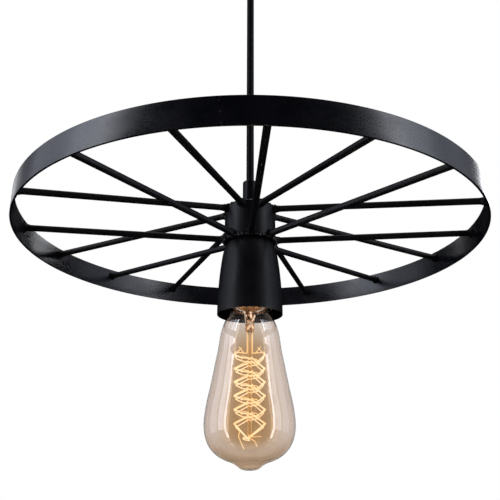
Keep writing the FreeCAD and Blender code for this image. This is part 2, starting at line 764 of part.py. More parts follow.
def conductors():
    """The two cores of the cord, in the lampholder and in the canopy."""
    core = d.conductor_radius.value
    bend = d.conductor_bend.value
    run = d.conductor_run.value
    spread = d.conductor_spread.value
    beside = core + d.conductor_split.value
    start = (shank_bottom - d.bush_inset).value
    head_top = (insert_top + d.terminal_head_height).value
    for side, offset in terminal_offsets():
        root = math.copysign(beside, offset.value)
        route = [vector(root, 0, start), vector(root, 0, start - run),
                 vector(offset.value, 0, start - run - spread), vector(offset.value, 0, head_top)]
        keep(feature(f"holder_{side}_wire", tube(route, core, bend)), f"holder_{side}_wire")
    start = upper_shank_top.value
    entry_level = -(d.bracket_thickness + d.block_height / 2).value
    entry_y = (d.block_width / 2).value
    for side, way in (("live", 1), ("neutral", -1)):
        pole = way * d.pole_spacing.value / 2
        loop = entry_y + d.conductor_loop.value
        route = [vector(way * beside, 0, start), vector(way * beside, 0, start + run),
                 vector(pole, loop, start + run + bend), vector(pole, loop, entry_level),
                 vector(pole, entry_y, entry_level)]
        keep(feature(f"canopy_{side}_wire", tube(route, core, bend)), f"canopy_{side}_wire")


def ceiling_bracket():
    """The stepped strap with its slots, and the two screws that carry the canopy."""
    half = d.bracket_length / 2
    flat = d.bracket_flat / 2
    thickness = d.bracket_thickness
    step = -d.bracket_step
    slope = d.bracket_slope
    fold = d.bracket_fold
    through = thickness + 2 * OVERCUT
    under = -thickness - OVERCUT
    strap = extruded("bracket_strap", [
        (-half, step), (-half, step - thickness), (-flat - slope + fold, step - thickness),
        (-flat + fold, -thickness), (flat - fold, -thickness), (flat + slope - fold, step - thickness),
        (half, step - thickness), (half, step),
        (flat + slope, step), (flat, ZERO), (-flat, ZERO), (-flat - slope, step)], "XZ_Plane", d.bracket_width)
    cuts = [cylinder("block_screw_hole", d.screw_radius + d.thread_clearance, through,
                     (ZERO, ZERO, under))]
    for name, way in (("left", -1.0), ("right", 1.0)):
        middle = d.slot_spacing / 2 * way
        run = (d.slot_length - d.slot_width) / 2
        cuts.append(primitive("Part::Box", f"slot_{name}_middle", (middle - run, -d.slot_width / 2, under),
                              None, Length=run * 2, Width=d.slot_width, Height=through))
        for end, side in (("inner", -1.0), ("outer", 1.0)):
            cuts.append(cylinder(f"slot_{name}_{end}", d.slot_width / 2, through,
                                 (middle + run * side, ZERO, under)))
        cuts.append(cylinder(f"screw_hole_{name}", d.canopy_screw_radius + d.thread_clearance, through,
                             (d.canopy_screw_spacing / 2 * way, ZERO, step + under)))
    keep(cut("ceiling_bracket", strap, joined("bracket_cuts", cuts)), "ceiling_bracket")
    pair("canopy_screws", lambda name, x: joined(name, [
        cylinder(name + "_head", d.screw_head_radius, d.screw_head_height, (x, ZERO, step)),
        cylinder(name + "_shank", d.canopy_screw_radius, d.canopy_screw_length,
                 (x, ZERO, step - d.canopy_screw_length))]))
    pair("bracket_nuts", lambda name, x: small_nut(name, x, step - thickness - d.small_nut_thickness))


def pair(name, build):
    """The left and the right piece of a pair, in one node."""
    x = d.canopy_screw_spacing / 2
    keep(group(name, [build(name + "_left", -x), build(name + "_right", x)]), name)


def small_nut(name, x, low):
    nut = hex_nut(name, d.small_nut_flats, d.canopy_screw_radius + d.thread_clearance, low,
                  d.small_nut_thickness)
    nut.setExpression("Placement.Base.x", x.text)
    return nut


def cap_nut(name, x):
    """A domed nut with a blind hole for the screw's end."""
    low = canopy_floor - d.cap_nut_height
    dome = primitive("Part::Sphere", name + "_dome", (x, ZERO, low + d.cap_nut_radius), None,
                     Radius=d.cap_nut_radius)
    side = cylinder(name + "_side", d.cap_nut_radius, d.cap_nut_height - d.cap_nut_radius,
                    (x, ZERO, low + d.cap_nut_radius))
    depth = d.cap_nut_height - d.cap_nut_crown
    hole = cylinder(name + "_hole", d.canopy_screw_radius + d.thread_clearance, depth,
                    (x, ZERO, canopy_floor - depth))
    return cut(name, joined(name + "_solid", [dome, side]), hole)


def canopy():
    """The spun canopy with its three holes, and the cap nuts that hold it up."""
    wall = d.canopy_wall
    corner = d.canopy_corner
    outside = d.canopy_radius
    inside = outside - wall
    shell = turned("canopy_shell", [
        (shank_hole, canopy_floor), (outside - corner, canopy_floor, corner, "right"),
        (outside, canopy_floor + corner), (outside, ZERO), (inside, ZERO),
        (inside, canopy_floor + corner, corner - wall, "left"),
        (outside - corner, canopy_floor_inside), (shank_hole, canopy_floor_inside)])
    holes = group("canopy_holes", [
        cylinder(f"canopy_hole_{side}", d.canopy_screw_radius + d.hole_clearance, wall + 2 * OVERCUT,
                 (d.canopy_screw_spacing / 2 * way, ZERO, canopy_floor - OVERCUT))
        for side, way in (("left", -1.0), ("right", 1.0))])
    keep(cut("canopy", shell, holes), "canopy")
    pair("cap_nuts", cap_nut)


def terminal_block():
    """The two-pole block on the bracket, with brass inserts, terminal screws and its fixing screw."""
    top = -d.bracket_thickness
    bottom = top - d.block_height
    middle = top - d.block_height / 2
    blank = primitive("Part::Box", "block_blank", (-d.block_length / 2, -d.block_width / 2, bottom), None,
                      Length=d.block_length, Width=d.block_width, Height=d.block_height)
    along = FreeCAD.Rotation(vector(x=1), -90)
    inset = d.insert_inset
    recess_top = bottom + d.recess_depth
    rows = (("front", -d.clamp_offset), ("back", d.clamp_offset))
    cuts = [cylinder("block_fixing_hole", d.screw_radius + d.thread_clearance, d.block_height + 2 * OVERCUT,
                     (ZERO, ZERO, bottom - OVERCUT)),
            cylinder("block_fixing_recess", d.recess_radius, d.recess_depth, (ZERO, ZERO, bottom))]
    inserts = []
    screws = []
    for side, way in (("live", 1.0), ("neutral", -1.0)):
        x = d.pole_spacing / 2 * way
        face = -d.block_width / 2
        cuts.append(cylinder(f"pole_hole_{side}", d.insert_radius, d.block_width + 2 * OVERCUT,
                             (x, face - OVERCUT, middle), along))
        sleeve = cylinder(f"pole_sleeve_{side}", d.insert_radius, d.block_width - inset * 2,
                          (x, face + inset, middle), along)
        bore = cylinder(f"pole_bore_{side}", d.conductor_radius + d.conductor_clearance, d.block_width,
                        (x, face, middle), along)
        taps = [cylinder(f"pole_tap_{side}_{row}", d.clamp_radius + d.thread_clearance, middle - bottom,
                         (x, y, bottom)) for row, y in rows]
        inserts.append(cut(f"pole_insert_{side}", sleeve, joined(f"pole_openings_{side}", [bore] + taps)))
        for row, y in rows:
            cuts.append(cylinder(f"pole_access_{side}_{row}", d.clamp_radius + d.conductor_clearance,
                                 d.block_height / 2, (x, y, bottom)))
            screws.append(cylinder(f"pole_screw_{side}_{row}", d.clamp_radius, d.clamp_length,
                                   (x, y, middle - d.clamp_tip - d.clamp_length)))
    keep(cut("terminal_block", blank, joined("block_cuts", cuts)), "terminal_block")
    keep(group("block_inserts", inserts), "block_inserts")
    screws.append(joined("block_fixing_screw", [
        cylinder("block_fixing_head", d.fixing_head_radius, d.fixing_head_height,
                 (ZERO, ZERO, recess_top - d.fixing_head_height)),
        cylinder("block_fixing_shank", d.screw_radius, -recess_top, (ZERO, ZERO, recess_top))]))
    keep(group("block_screws", screws), "block_screws")


def write_parts():
    """Recomputes, checks every object and writes each sub-part to its own file."""
    doc.recompute()
    for item in doc.Objects:
        if "Invalid" in item.State or "Error" in item.State:
            raise RuntimeError(f"{item.Label} failed: {item.State}")
    os.makedirs("parts", exist_ok=True)
    for item in parts:
        if item.Shape.isNull() or not item.Shape.isValid():
            raise RuntimeError(f"{item.Label} has no valid shape")
        print(item.Label, len(item.Shape.Solids), round(item.Shape.Volume, 1))
        item.Shape.exportStep(f"parts/{item.Label}.step")
    print(len(parts), "sub-parts")


wheel()
cord_grips()
socket_cup()
lampholder()
bulb()
cord()
conductors()
ceiling_bracket()
canopy()
terminal_block()
write_parts()
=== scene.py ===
# %% [markdown]
# # Wagon wheel chandelier
# A black steel wheel hangs on a cord from the ceiling. Its short hub carries a bell-shaped cup with
# a lampholder in it, and a large filament bulb glows below. The measured model is loaded first and
# stays where it is, with +Z up and the ceiling at 0. Every surface below is laid over it. Sizes are
# in millimetres until a grid of points becomes a mesh, which is in metres.

# %% Load the measured model
import json
import math
import bmesh
import bpy
import numpy as np
from mathutils import Matrix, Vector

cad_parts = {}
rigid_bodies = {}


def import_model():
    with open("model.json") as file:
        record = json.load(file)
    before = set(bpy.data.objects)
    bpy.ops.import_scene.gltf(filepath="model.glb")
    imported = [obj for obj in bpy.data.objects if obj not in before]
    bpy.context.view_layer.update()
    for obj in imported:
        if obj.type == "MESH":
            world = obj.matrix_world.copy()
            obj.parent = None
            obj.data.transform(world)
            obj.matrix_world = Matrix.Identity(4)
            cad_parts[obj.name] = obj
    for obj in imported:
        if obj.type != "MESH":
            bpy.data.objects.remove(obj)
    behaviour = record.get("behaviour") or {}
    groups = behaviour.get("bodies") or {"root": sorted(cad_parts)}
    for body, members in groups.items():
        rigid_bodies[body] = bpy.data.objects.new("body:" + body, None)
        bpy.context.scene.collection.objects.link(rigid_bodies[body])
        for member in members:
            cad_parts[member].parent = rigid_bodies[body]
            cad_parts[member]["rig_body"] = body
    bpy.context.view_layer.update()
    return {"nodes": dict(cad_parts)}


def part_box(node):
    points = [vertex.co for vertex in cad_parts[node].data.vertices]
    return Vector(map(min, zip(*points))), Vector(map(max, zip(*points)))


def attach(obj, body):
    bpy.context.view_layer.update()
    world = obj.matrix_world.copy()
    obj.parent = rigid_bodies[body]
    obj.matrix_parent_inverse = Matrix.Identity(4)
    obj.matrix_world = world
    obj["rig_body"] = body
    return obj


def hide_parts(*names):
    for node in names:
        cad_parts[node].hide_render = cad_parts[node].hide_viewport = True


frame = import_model()

# %% [markdown]
# The camera stands in front of the lamp and well below the rim, and looks up at it, so the rim
# shows as an ellipse with the bulb inside it. A lens is easiest to place by where it stands, how
# far it tilts up and how long it is, because then nothing has to be aimed by a constraint.

# %% Camera
camera_data = bpy.data.cameras.new("viewpoint")
camera_data.lens = 47.88
camera_data.sensor_width = 36.0
camera_data.clip_start = 0.01
camera = bpy.data.objects.new("viewpoint", camera_data)
camera.location = (0.0, -0.4762, -0.4959)
tilt_up, roll = math.radians(20.426), math.radians(0.112)
facing = Matrix.Rotation(math.pi / 2 + tilt_up, 3, "X") @ Matrix.Rotation(roll, 3, "Z")
camera.rotation_euler = facing.to_euler()
bpy.context.scene.collection.objects.link(camera)
bpy.context.scene.camera = camera
bpy.context.scene.view_settings.view_transform = "Standard"
print("camera", tuple(camera.location))

# %% [markdown]
# Surfaces are grids of points worked out as whole arrays. One function turns a grid into a mesh:
# each row closes round on itself, and the last row meets the first where the section is a ring.
# Doubled points at a pole are merged, and then the faces are made to point outwards, because a
# grid can be wound either way round.

# %% A grid of points becomes a mesh
MM = 0.001
SAME_POINT, NO_LENGTH = 2e-6, 1e-7


def mesh_from_grid(grid, close_rows=False):
    """Quads between neighbours of a (rows, columns, 3) grid in millimetres, closed round each row."""
    rows, columns = grid.shape[:2]
    index = np.arange(rows * columns).reshape(rows, columns)
    index = np.hstack([index, index[:, :1]])
    if close_rows:
        index = np.vstack([index, index[:1]])
    quads = np.stack([index[:-1, :-1], index[:-1, 1:], index[1:, 1:], index[1:, :-1]], axis=-1)
    mesh = bpy.data.meshes.new("surface")
    mesh.from_pydata((grid.reshape(-1, 3) * MM).tolist(), [], quads.reshape(-1, 4).tolist())
    return mesh


def settle(mesh, angle):
    """Merges doubled points, points the faces outwards and shades smooth but for sharp edges."""
    shape = bmesh.new()
    shape.from_mesh(mesh)
    bmesh.ops.remove_doubles(shape, verts=shape.verts, dist=SAME_POINT)
    bmesh.ops.dissolve_degenerate(shape, edges=shape.edges, dist=NO_LENGTH)
    bmesh.ops.recalc_face_normals(shape, faces=shape.faces)
    shape.to_mesh(mesh)
    shape.free()
    mesh.shade_smooth()
    mesh.set_sharp_from_angle(angle=math.radians(angle))


def joined_mesh(meshes):
    """One mesh with the faces of several, each left as it is."""
    shape = bmesh.new()
    for mesh in meshes:
        shape.from_mesh(mesh)
    whole = bpy.data.meshes.new("joined")
    shape.to_mesh(whole)
    shape.free()
    return whole


print("points closer than", SAME_POINT / MM, "mm become one")

# %% [markdown]
# Most of the lamp is lathe work: a profile of (radius, height) turned round the lamp's axis. A
# modifier could spin it, but an array can also be given waves, a thread or a squeeze on its way
# round, so one function sets points round an axis and the rest is arithmetic.

# %% Turned surfaces
def set_round(radius, level, turn, centre=(0.0, 0.0)):
    """The points x = r cos t, y = r sin t, z about a centre, for arrays of r, z and t that fit together."""
    x, y = centre[0] + radius * np.cos(turn), centre[1] + radius * np.sin(turn)
    return np.stack(np.broadcast_arrays(x, y, level), axis=-1)


def full_turn(steps):
    """Even angles all the way round, without the one that would come twice."""
    return np.linspace(0, 2 * np.pi, steps, endpoint=False)


def turned(profile, steps, closed=True, centre=(0.0, 0.0)):
    """Every profile point (r, z) goes round."""
    profile = np.asarray(profile, float)
    grid = set_round(profile[:, :1], profile[:, 1:], full_turn(steps), centre)
    return mesh_from_grid(grid, close_rows=closed)


print("a quarter of the way round lies", set_round(1.0, 0.0, full_turn(4)[1]).round(3))

# %% [markdown]
# Sheet and bar have rounded corners, which are put on the profile before it is turned: a small
# parabola takes the place of each corner. The bulb's glass is blown, so its profile is a smooth
# curve through a few measured points.

# %% Profiles
def parabolas(start, corner, stop, steps):
    """Points (1 - t)^2 start + 2 t (1 - t) corner + t^2 stop, for each corner of a line."""
    t = np.linspace(0, 1, steps + 1)[None, :, None]
    return (1 - t)**2 * start[:, None] + 2 * t * (1 - t) * corner[:, None] + t**2 * stop[:, None]


def smooth_line(points, steps):
    """A curve through the points: between two, a cubic whose slopes are those of their neighbours."""
    points = np.asarray(points, float)
    gaps = np.linalg.norm(np.diff(points, axis=0), axis=1)
    reach = np.concatenate([[0], np.cumsum(gaps)])
    slope = np.gradient(points, reach, axis=0)
    t = np.linspace(0, 1, steps, endpoint=False)[None, :, None]
    start, stop = points[:-1, None], points[1:, None]
    first, last = slope[:-1, None] * gaps[:, None, None], slope[1:, None] * gaps[:, None, None]
    line = ((2 * t**3 - 3 * t**2 + 1) * start + (t**3 - 2 * t**2 + t) * first
            + (3 * t**2 - 2 * t**3) * stop + (t**3 - t**2) * last)
    return np.vstack([line.reshape(-1, points.shape[1]), points[-1:]])


def eased(profile, radius=0.4, steps=4):
    """A closed profile with each corner swapped for a small parabola that starts and ends on its sides."""
    profile = np.asarray(profile, float)
    before = np.roll(profile, 1, axis=0) - profile
    after = np.roll(profile, -1, axis=0) - profile
    back = np.linalg.norm(before, axis=1, keepdims=True)
    ahead = np.linalg.norm(after, axis=1, keepdims=True)
    start = profile + before / back * np.minimum(radius, 0.45 * back)
    stop = profile + after / ahead * np.minimum(radius, 0.45 * ahead)
    return parabolas(start, profile, stop, steps).reshape(-1, 2)


def band(outside, wall, low, high):
    """The four corners of a flat band's section, for a hoop or a short tube."""
    return [(outside - wall, low), (outside, low), (outside, high), (outside - wall, high)]


print("a band with eased corners has", len(eased(band(10.0, 2.0, 0.0, 5.0))), "points")

# %% [markdown]
# Rods, wires and strands are a circle carried along a path. At each point of the path the circle
# lies square to it, on two directions that come from one fixed side direction, so the tube doesn't
# twist. A wire's bends are parabolas between its straight runs.

# %% Tubes
def unit(vectors):
    """Each row divided by its length."""
    return vectors / np.linalg.norm(vectors, axis=1, keepdims=True)


def bent(points, reach, steps=6):
    """Straight runs whose corners are parabolas from one run to the next."""
    points = np.asarray(points, float)
    corner = points[1:-1]
    before, after = unit(points[:-2] - corner), unit(points[2:] - corner)
    curve = parabolas(corner + before * reach, corner, corner + after * reach, steps)
    return np.vstack([points[:1], curve.reshape(-1, 3), points[-1:]])


def tube(path, radius, sides, aside=(0.31, 0.17, 0.93), rounded=True):
    """A circle at each path point, centre + r (u cos t + v sin t), with domed or flat closed ends."""
    path = np.asarray(path, float)
    along = unit(np.gradient(path, axis=0))
    u = unit(np.cross(along, np.asarray(aside, float)))
    v = np.cross(along, u)
    radius = np.broadcast_to(np.asarray(radius, float), (len(path),))
    final = len(path) - 1
    if rounded:
        dome = np.linspace(np.pi / 2, 0, 4)[:-1]
        enter, leave = along[:1] * radius[0], along[-1:] * radius[-1]
        first = path[:1] - enter * np.sin(dome)[:, None] + enter
        last = path[-1:] + leave * np.sin(dome[::-1])[:, None] - leave
        centre = np.vstack([first, path[:1] + enter, path[1:-1], path[-1:] - leave, last])
        size = np.concatenate([radius[0] * np.cos(dome), radius[:1], radius[1:-1], radius[-1:],
                               radius[-1] * np.cos(dome[::-1])])
        pick = np.concatenate([np.zeros(4, int), np.arange(1, final), np.full(4, final)])
    else:
        centre = np.vstack([path[:1], path, path[-1:]])
        size = np.concatenate([[0], radius, [0]])
        pick = np.concatenate([[0], np.arange(len(path)), [final]])
    turn = full_turn(sides)[None, :, None]
    circle = u[pick][:, None] * np.cos(turn) + v[pick][:, None] * np.sin(turn)
    return mesh_from_grid(centre[:, None] + size[:, None, None] * circle)


print("a wire with one bend has", len(bent([(0, 0, 0), (0, 0, 9), (9, 0, 9)], 1.0)), "points")

# %% [markdown]
# Shader maths reads best as arithmetic. A small class holds one output socket, and adding or
# multiplying two of them places the Math node. Every other node comes from one method that takes
# its type, its settings and what goes into its sockets. The world has a node tree too, so that
# method belongs to trees of every kind.

# %% Shader values and node trees
class Value:
    """A number that changes over a surface or from ray to ray."""

    def __init__(self, owner, socket):
        self.owner, self.socket = owner, socket

    def __add__(self, other):
        return self.owner.maths("ADD", self, other)

    def __mul__(self, other):
        return self.owner.maths("MULTIPLY", self, other)

    __radd__ = __add__
    __rmul__ = __mul__


class Nodes:
    """A node tree and the ways to add to it."""

    def __init__(self, tree):
        self.tree = tree

    def node(self, kind, settings=None, inputs=None, output=0):
        """Adds a node, sets its settings first, then its sockets, and hands out one output."""
        node = self.tree.nodes.new(kind)
        for name, value in (settings or {}).items():
            setattr(node, name, value)
        for key, value in (inputs or {}).items():
            self.feed(node.inputs[key], value)
        return Value(self, node.outputs[output])

    def feed(self, socket, value):
        """Links a value to a socket, or writes a constant on it."""
        if isinstance(value, Value):
            self.tree.links.new(value.socket, socket)
        else:
            socket.default_value = value

    def maths(self, operation, first, second):
        """The sum, product or larger of two numbers, whichever the operation says."""
        return self.node("ShaderNodeMath", {"operation": operation}, {0: first, 1: second})


print("Value:", Value.__doc__, "Nodes:", Nodes.__doc__)

# %% [markdown]
# A finish is one material with a principled shader. What its patterns have in common is kept as
# methods: a noise of a given size, the height of a point, how slanted the surface is seen, and the
# mix of two colours. The patterns read the point on the object, so none slides when it moves.

# %% Finishes
class Finish(Nodes):
    """A material with one principled shader, and methods for the patterns on it."""

    def __init__(self, name, **constants):
        self.material = bpy.data.materials.new(name)
        self.material.use_nodes = True
        super().__init__(self.material.node_tree)
        self.shader = self.tree.nodes["Principled BSDF"]
        for socket, value in constants.items():
            title = socket.replace("_", " ").title().replace("Ior", "IOR")
            self.shader.inputs[title].default_value = value

    def place(self, stretch=(1.0, 1.0, 1.0)):
        """The point on the object, stretched along its axes so that a grain can run one way."""
        point = self.node("ShaderNodeTexCoord", output="Object")
        return self.node("ShaderNodeMapping", None, {"Vector": point, "Scale": stretch})

    def noise(self, size_mm, detail=3.0, stretch=(1.0, 1.0, 1.0), roughness=0.5):
        """A smooth random field from 0 to 1 whose patches are about this large."""
        return self.node("ShaderNodeTexNoise", None, {
            "Vector": self.place(stretch), "Scale": 1000.0 / size_mm, "Detail": detail,
            "Roughness": roughness})

    def height(self):
        """How high a point of the object is, in metres."""
        return self.node("ShaderNodeSeparateXYZ", None, {"Vector": self.place()}, output=2)

    def slant(self):
        """0 where the surface is seen square on, up to 1 where it is seen along itself."""
        return self.node("ShaderNodeLayerWeight", None, {"Blend": 0.5}, output="Facing")

    def spread(self, value, low, high, start=0.35, stop=0.65):
        """Maps a field's middle range onto low to high."""
        return self.node("ShaderNodeMapRange", {"clamp": True}, {
            "Value": value, "From Min": start, "From Max": stop, "To Min": low, "To Max": high})

    def mix(self, factor, first, second):
        """One colour where the factor is 0, the other where it is 1."""
        return self.node("ShaderNodeMix", {"data_type": "RGBA"}, {0: factor, 6: first, 7: second}, output=2)

    def set(self, **values):
        """Feeds the shader's sockets, named with _ for a space."""
        for socket, value in values.items():
            self.feed(self.shader.inputs[socket.replace("_", " ")], value)

    def bump(self, height, depth_mm):
        """Tilts the surface by a height field of this depth."""
        self.feed(self.shader.inputs["Normal"], self.node("ShaderNodeBump", None, {
            "Height": height, "Distance": depth_mm * MM, "Strength": 1.0}))


finishes = {}
print("patterns read the point on the object:", Finish.place.__doc__)

# %% [markdown]
# Colours are written as a picture stores them, from 0 to 255, because that is how they are read
# off a screen. Shaders add and mix light, so each one is turned into light first.

# %% Colours
def colour(red, green, blue):
    """A colour as a picture stores it, 0 to 255, turned into light."""
    value = np.array([red, green, blue]) / 255.0
    light = np.where(value <= 0.04045, value / 12.92, ((value + 0.055) / 1.055)**2.4)
    return (*light.tolist(), 1.0)


DARK = colour(0, 0, 0)
print("a mid grey reflects", round(colour(128, 128, 128)[0], 3), "of the light")

# %% [markdown]
# ## Black paint
# The steel is powder coated: a satin black that looks nearly flat until a window or a soft light
# lies along it. Up close it has orange peel, about a millimetre across, and its sheen wanders a
# little from place to place. Noise moves the roughness, and a finer noise makes the peel. The
# rolled rim has the smoothest coat. Rods, hub and cup got a drier one, which spreads its gloss,
# and the welds under it catch more light. Plastics and porcelain come from the same function,
# because their colour and gloss wander in the same way.

# %% Paints, plastics and porcelain
CLOUD, UNEVEN = 22.0, 0.03


def satin(name, base, rough, peel, depth, level=0.5):
    """Colour and roughness drift between two values each, and a fine noise makes the peel."""
    finish = Finish(name, specular_ior_level=level)
    cloud = finish.noise(CLOUD, 4.0)
    grain = finish.noise(peel, 3.0)
    finish.set(Base_Color=finish.mix(finish.spread(cloud, 0.0, 1.0), *base),
               Roughness=finish.spread(cloud, *rough) + finish.spread(grain, -UNEVEN, UNEVEN))
    finish.bump(grain, depth)
    finishes[name] = finish.material


satin("black_paint", (colour(2, 3, 8), colour(6, 6, 12)), (0.26, 0.33), 1.1, 0.0025, 0.46)
satin("matt_black", (colour(7, 7, 9), colour(12, 12, 14)), (0.38, 0.46), 1.1, 0.014, 0.17)
satin("painted_weld", (colour(8, 8, 11), colour(20, 20, 24)), (0.26, 0.40), 0.8, 0.03, 0.7)
satin("black_grip", (colour(3, 3, 6), colour(7, 7, 9)), (0.34, 0.42), 0.6, 0.006, 0.10)
satin("black_nut", (colour(24, 24, 26), colour(34, 33, 33)), (0.30, 0.48), 0.5, 0.008)
satin("phenolic", (colour(28, 24, 22), colour(40, 34, 30)), (0.30, 0.42), 1.6, 0.010)
satin("black_glass", (colour(14, 12, 16), colour(30, 24, 30)), (0.08, 0.16), 2.5, 0.010)
satin("nylon", (colour(226, 222, 206), colour(238, 235, 222)), (0.42, 0.55), 0.8, 0.006)
satin("block_plastic", (colour(226, 226, 220), colour(240, 239, 233)), (0.38, 0.5), 0.9, 0.008)
satin("porcelain", (colour(232, 230, 222), colour(244, 243, 238)), (0.10, 0.18), 2.0, 0.010)
satin("live_core", (colour(96, 56, 32), colour(112, 66, 38)), (0.35, 0.45), 0.7, 0.004)
satin("neutral_core", (colour(38, 74, 138), colour(48, 88, 156)), (0.35, 0.45), 0.7, 0.004)
print(len(finishes), "plain finishes")

# %% [markdown]
# Bare metal takes its colour from its reflections. Brass dulls in patches, where it turns browner
# and rougher. Zinc plating has a faint mottle and fine scratches that run one way.

# %% Metals
LINE_SIZE, DULLED = 0.7, 0.14


def metal(name, bright, dull, rough, stretch=(1.0, 1.0, 1.0), patch=5.0, scratch=0.004, metallic=1.0):
    """Patches of tarnish darken and roughen the metal, and fine lines run along the unstretched axes."""
    finish = Finish(name, metallic=metallic)
    tarnish = finish.spread(finish.noise(patch, 5.0, roughness=0.6), 0.0, 1.0, 0.4, 0.72)
    lines = finish.noise(LINE_SIZE, 2.0, stretch)
    finish.set(Base_Color=finish.mix(tarnish, bright, dull),
               Roughness=finish.spread(lines, *rough) + tarnish * DULLED)
    finish.bump(lines, scratch)
    finishes[name] = finish.material
    return finish


metal("zinc", colour(208, 210, 212), colour(168, 170, 176), (0.24, 0.36), (1.0, 6.0, 6.0))
metal("brass", colour(222, 190, 118), colour(164, 122, 66), (0.22, 0.34), (1.0, 1.0, 6.0))
metal("solder", colour(190, 190, 186), colour(140, 140, 140), (0.34, 0.5), patch=2.0, scratch=0.05)
print(len(finishes), "finishes with the metals")

# %% [markdown]
# Two metals are lit by the filament, and its light on them is painted on as a faint emission. The
# bulb's cap is seen from inside, through the glass of the neck, and is full of warm light there, so
# what lies near the axis gets that painted light. The wires get painted light beside the strand, which
# fades out up towards the stem, where they lie in shade. A distance and a height are the masks.

# %% Metals in the filament's light
CAP_PAINTED_LIGHT, WIRE_PAINTED_LIGHT = 0.22, 1.1
cap_brass = metal("bulb_brass", colour(210, 166, 116), colour(156, 112, 72), (0.30, 0.44),
                  (1.0, 1.0, 8.0), 6.0)
# The brass near the axis is painted with the filament's warm light, as emission.
from_axis = cap_brass.node("ShaderNodeVectorMath", {"operation": "LENGTH"},
                           {0: cap_brass.place((1.0, 1.0, 0.0))}, output="Value")
painted_light_in_cap = cap_brass.spread(from_axis, 1.0, 0.0, 0.01200, 0.01215)
cap_brass.set(Emission_Color=cap_brass.mix(painted_light_in_cap, DARK, colour(204, 154, 110)),
              Emission_Strength=CAP_PAINTED_LIGHT)

wire = metal("nickel_wire", colour(236, 208, 160), colour(206, 176, 128), (0.35, 0.5), metallic=0.35)
# Painted light of the filament on the wires, fading out higher up, where they lie in shade.
painted_light_near_strand = wire.spread(wire.height(), 1.0, 0.0, -0.383, -0.376)
wire.set(Emission_Color=wire.mix(painted_light_near_strand, DARK, colour(255, 238, 202)), Emission_Strength=WIRE_PAINTED_LIGHT)
print("cap and wires glow at", CAP_PAINTED_LIGHT, "and", WIRE_PAINTED_LIGHT)

# %% [markdown]
# ## Glass and light
# The envelope is thin glass with a pale amber coat. Where it is seen square on below the neck, the
# filament's glow on the coat is painted in as a warmer amber, and the thick tip is tinted warm too.
# Where the glass is seen at a slant it is paler, but tints a little more towards its outline, where
# the way through it is longer.

# %% Envelope glass
NECK_CLEAR, FULL_GLOW_LEVEL, TIP_STARTS, TIP_ENDS = -0.372, -0.398, -0.452, -0.472
amber = Finish("amber_glass", transmission_weight=1.0, ior=1.47)
slant, level = amber.slant(), amber.height()
square_on = amber.spread(slant, 1.0, 0.0, 0.05, 0.22)
# Seen square on below the neck, the glass is painted a warmer amber for the filament's glow on its coat.
warmer_amber = square_on * amber.spread(level, 0.0, 1.0, NECK_CLEAR, FULL_GLOW_LEVEL)
tip = amber.spread(level, 0.0, 0.68, TIP_STARTS, TIP_ENDS)
pale = amber.mix(amber.spread(slant, 0.0, 1.0, 0.28, 0.62), colour(234, 228, 224), colour(224, 209, 199))
amber.set(Base_Color=amber.mix(amber.maths("MAXIMUM", warmer_amber, tip), pale, colour(209, 185, 156)),
          Roughness=amber.spread(amber.noise(30.0, 2.0), 0.0, 0.02))
amber.bump(amber.noise(24.0, 1.0), 0.04)
finishes["amber_glass"] = amber.material
print("stained from", NECK_CLEAR, "down to", TIP_ENDS)

# %% [markdown]
# The stem's glass is clear. The filament's light along the edges of its thin rod is painted on as a
# glow. Its pressed end is mottled, pale in some spots and brown in others, with a lumpy surface, and
# painted glints of the filament's light sit in some of its spots.

# %% Stem glass
PRESS_LOW, PRESS_HIGH = (-0.3835, -0.3825), (-0.369, -0.367)
stem_glass = Finish("stem_glass", transmission_weight=1.0, ior=1.3, emission_strength=1.0)
level = stem_glass.height()
press = stem_glass.spread(level, 0.0, 1.0, *PRESS_LOW) * stem_glass.spread(level, 1.0, 0.0, *PRESS_HIGH)
rod = stem_glass.spread(level, 1.0, 0.0, -0.3845, -0.3835)
# Painted highlights: the filament's light along the rod's edges and in spots of the press, as emission.
rod_edge_light = rod * stem_glass.spread(stem_glass.slant(), 0.05, 1.0, 0.35, 0.65)
mottle = stem_glass.noise(2.6, 2.0, (1.0, 1.0, 0.7))
glow = rod_edge_light + press * stem_glass.spread(mottle, 0.0, 0.8, 0.53, 0.62)
blotches = stem_glass.mix(stem_glass.spread(mottle, 0.0, 1.0, 0.44, 0.56), colour(172, 122, 78),
                          colour(248, 236, 220))
painted_glint_colour = stem_glass.mix(press, colour(255, 214, 142), colour(255, 232, 208))
stem_glass.set(Base_Color=stem_glass.mix(press, colour(250, 240, 222), blotches),
               Emission_Color=stem_glass.mix(glow, DARK, painted_glint_colour),
               Roughness=stem_glass.spread(mottle, 0.0, 0.08))
stem_glass.bump(mottle * press, 0.6)
finishes["stem_glass"] = stem_glass.material
print("pressed from", PRESS_HIGH[1], "down to", PRESS_LOW[0])

# %% [markdown]
# The filament shines pale gold and doesn't glare, because its emission stays a little above white.
# The cord's sheath is matt black with a fine grain that is drawn out along it.

# %% Filament and cord sheath
tungsten = Finish("tungsten", emission_strength=1.9)
heat = tungsten.spread(tungsten.noise(3.0), 0.0, 1.0)
tungsten.set(Base_Color=colour(120, 90, 50), Roughness=0.5,
             Emission_Color=tungsten.mix(heat, colour(255, 238, 212), colour(255, 246, 228)))
finishes["tungsten"] = tungsten.material

sheath = Finish("cord_sheath", specular_ior_level=0.08)
grain = sheath.noise(0.9, 3.0, (1.0, 1.0, 0.35))
shade = sheath.spread(sheath.noise(9.0), 0.0, 1.0)
sheath.set(Base_Color=sheath.mix(shade, colour(5, 5, 6), colour(9, 9, 10)),
           Roughness=sheath.spread(grain, 0.42, 0.58))
sheath.bump(grain, 0.02)
finishes["cord_sheath"] = sheath.material
print(sorted(finishes))

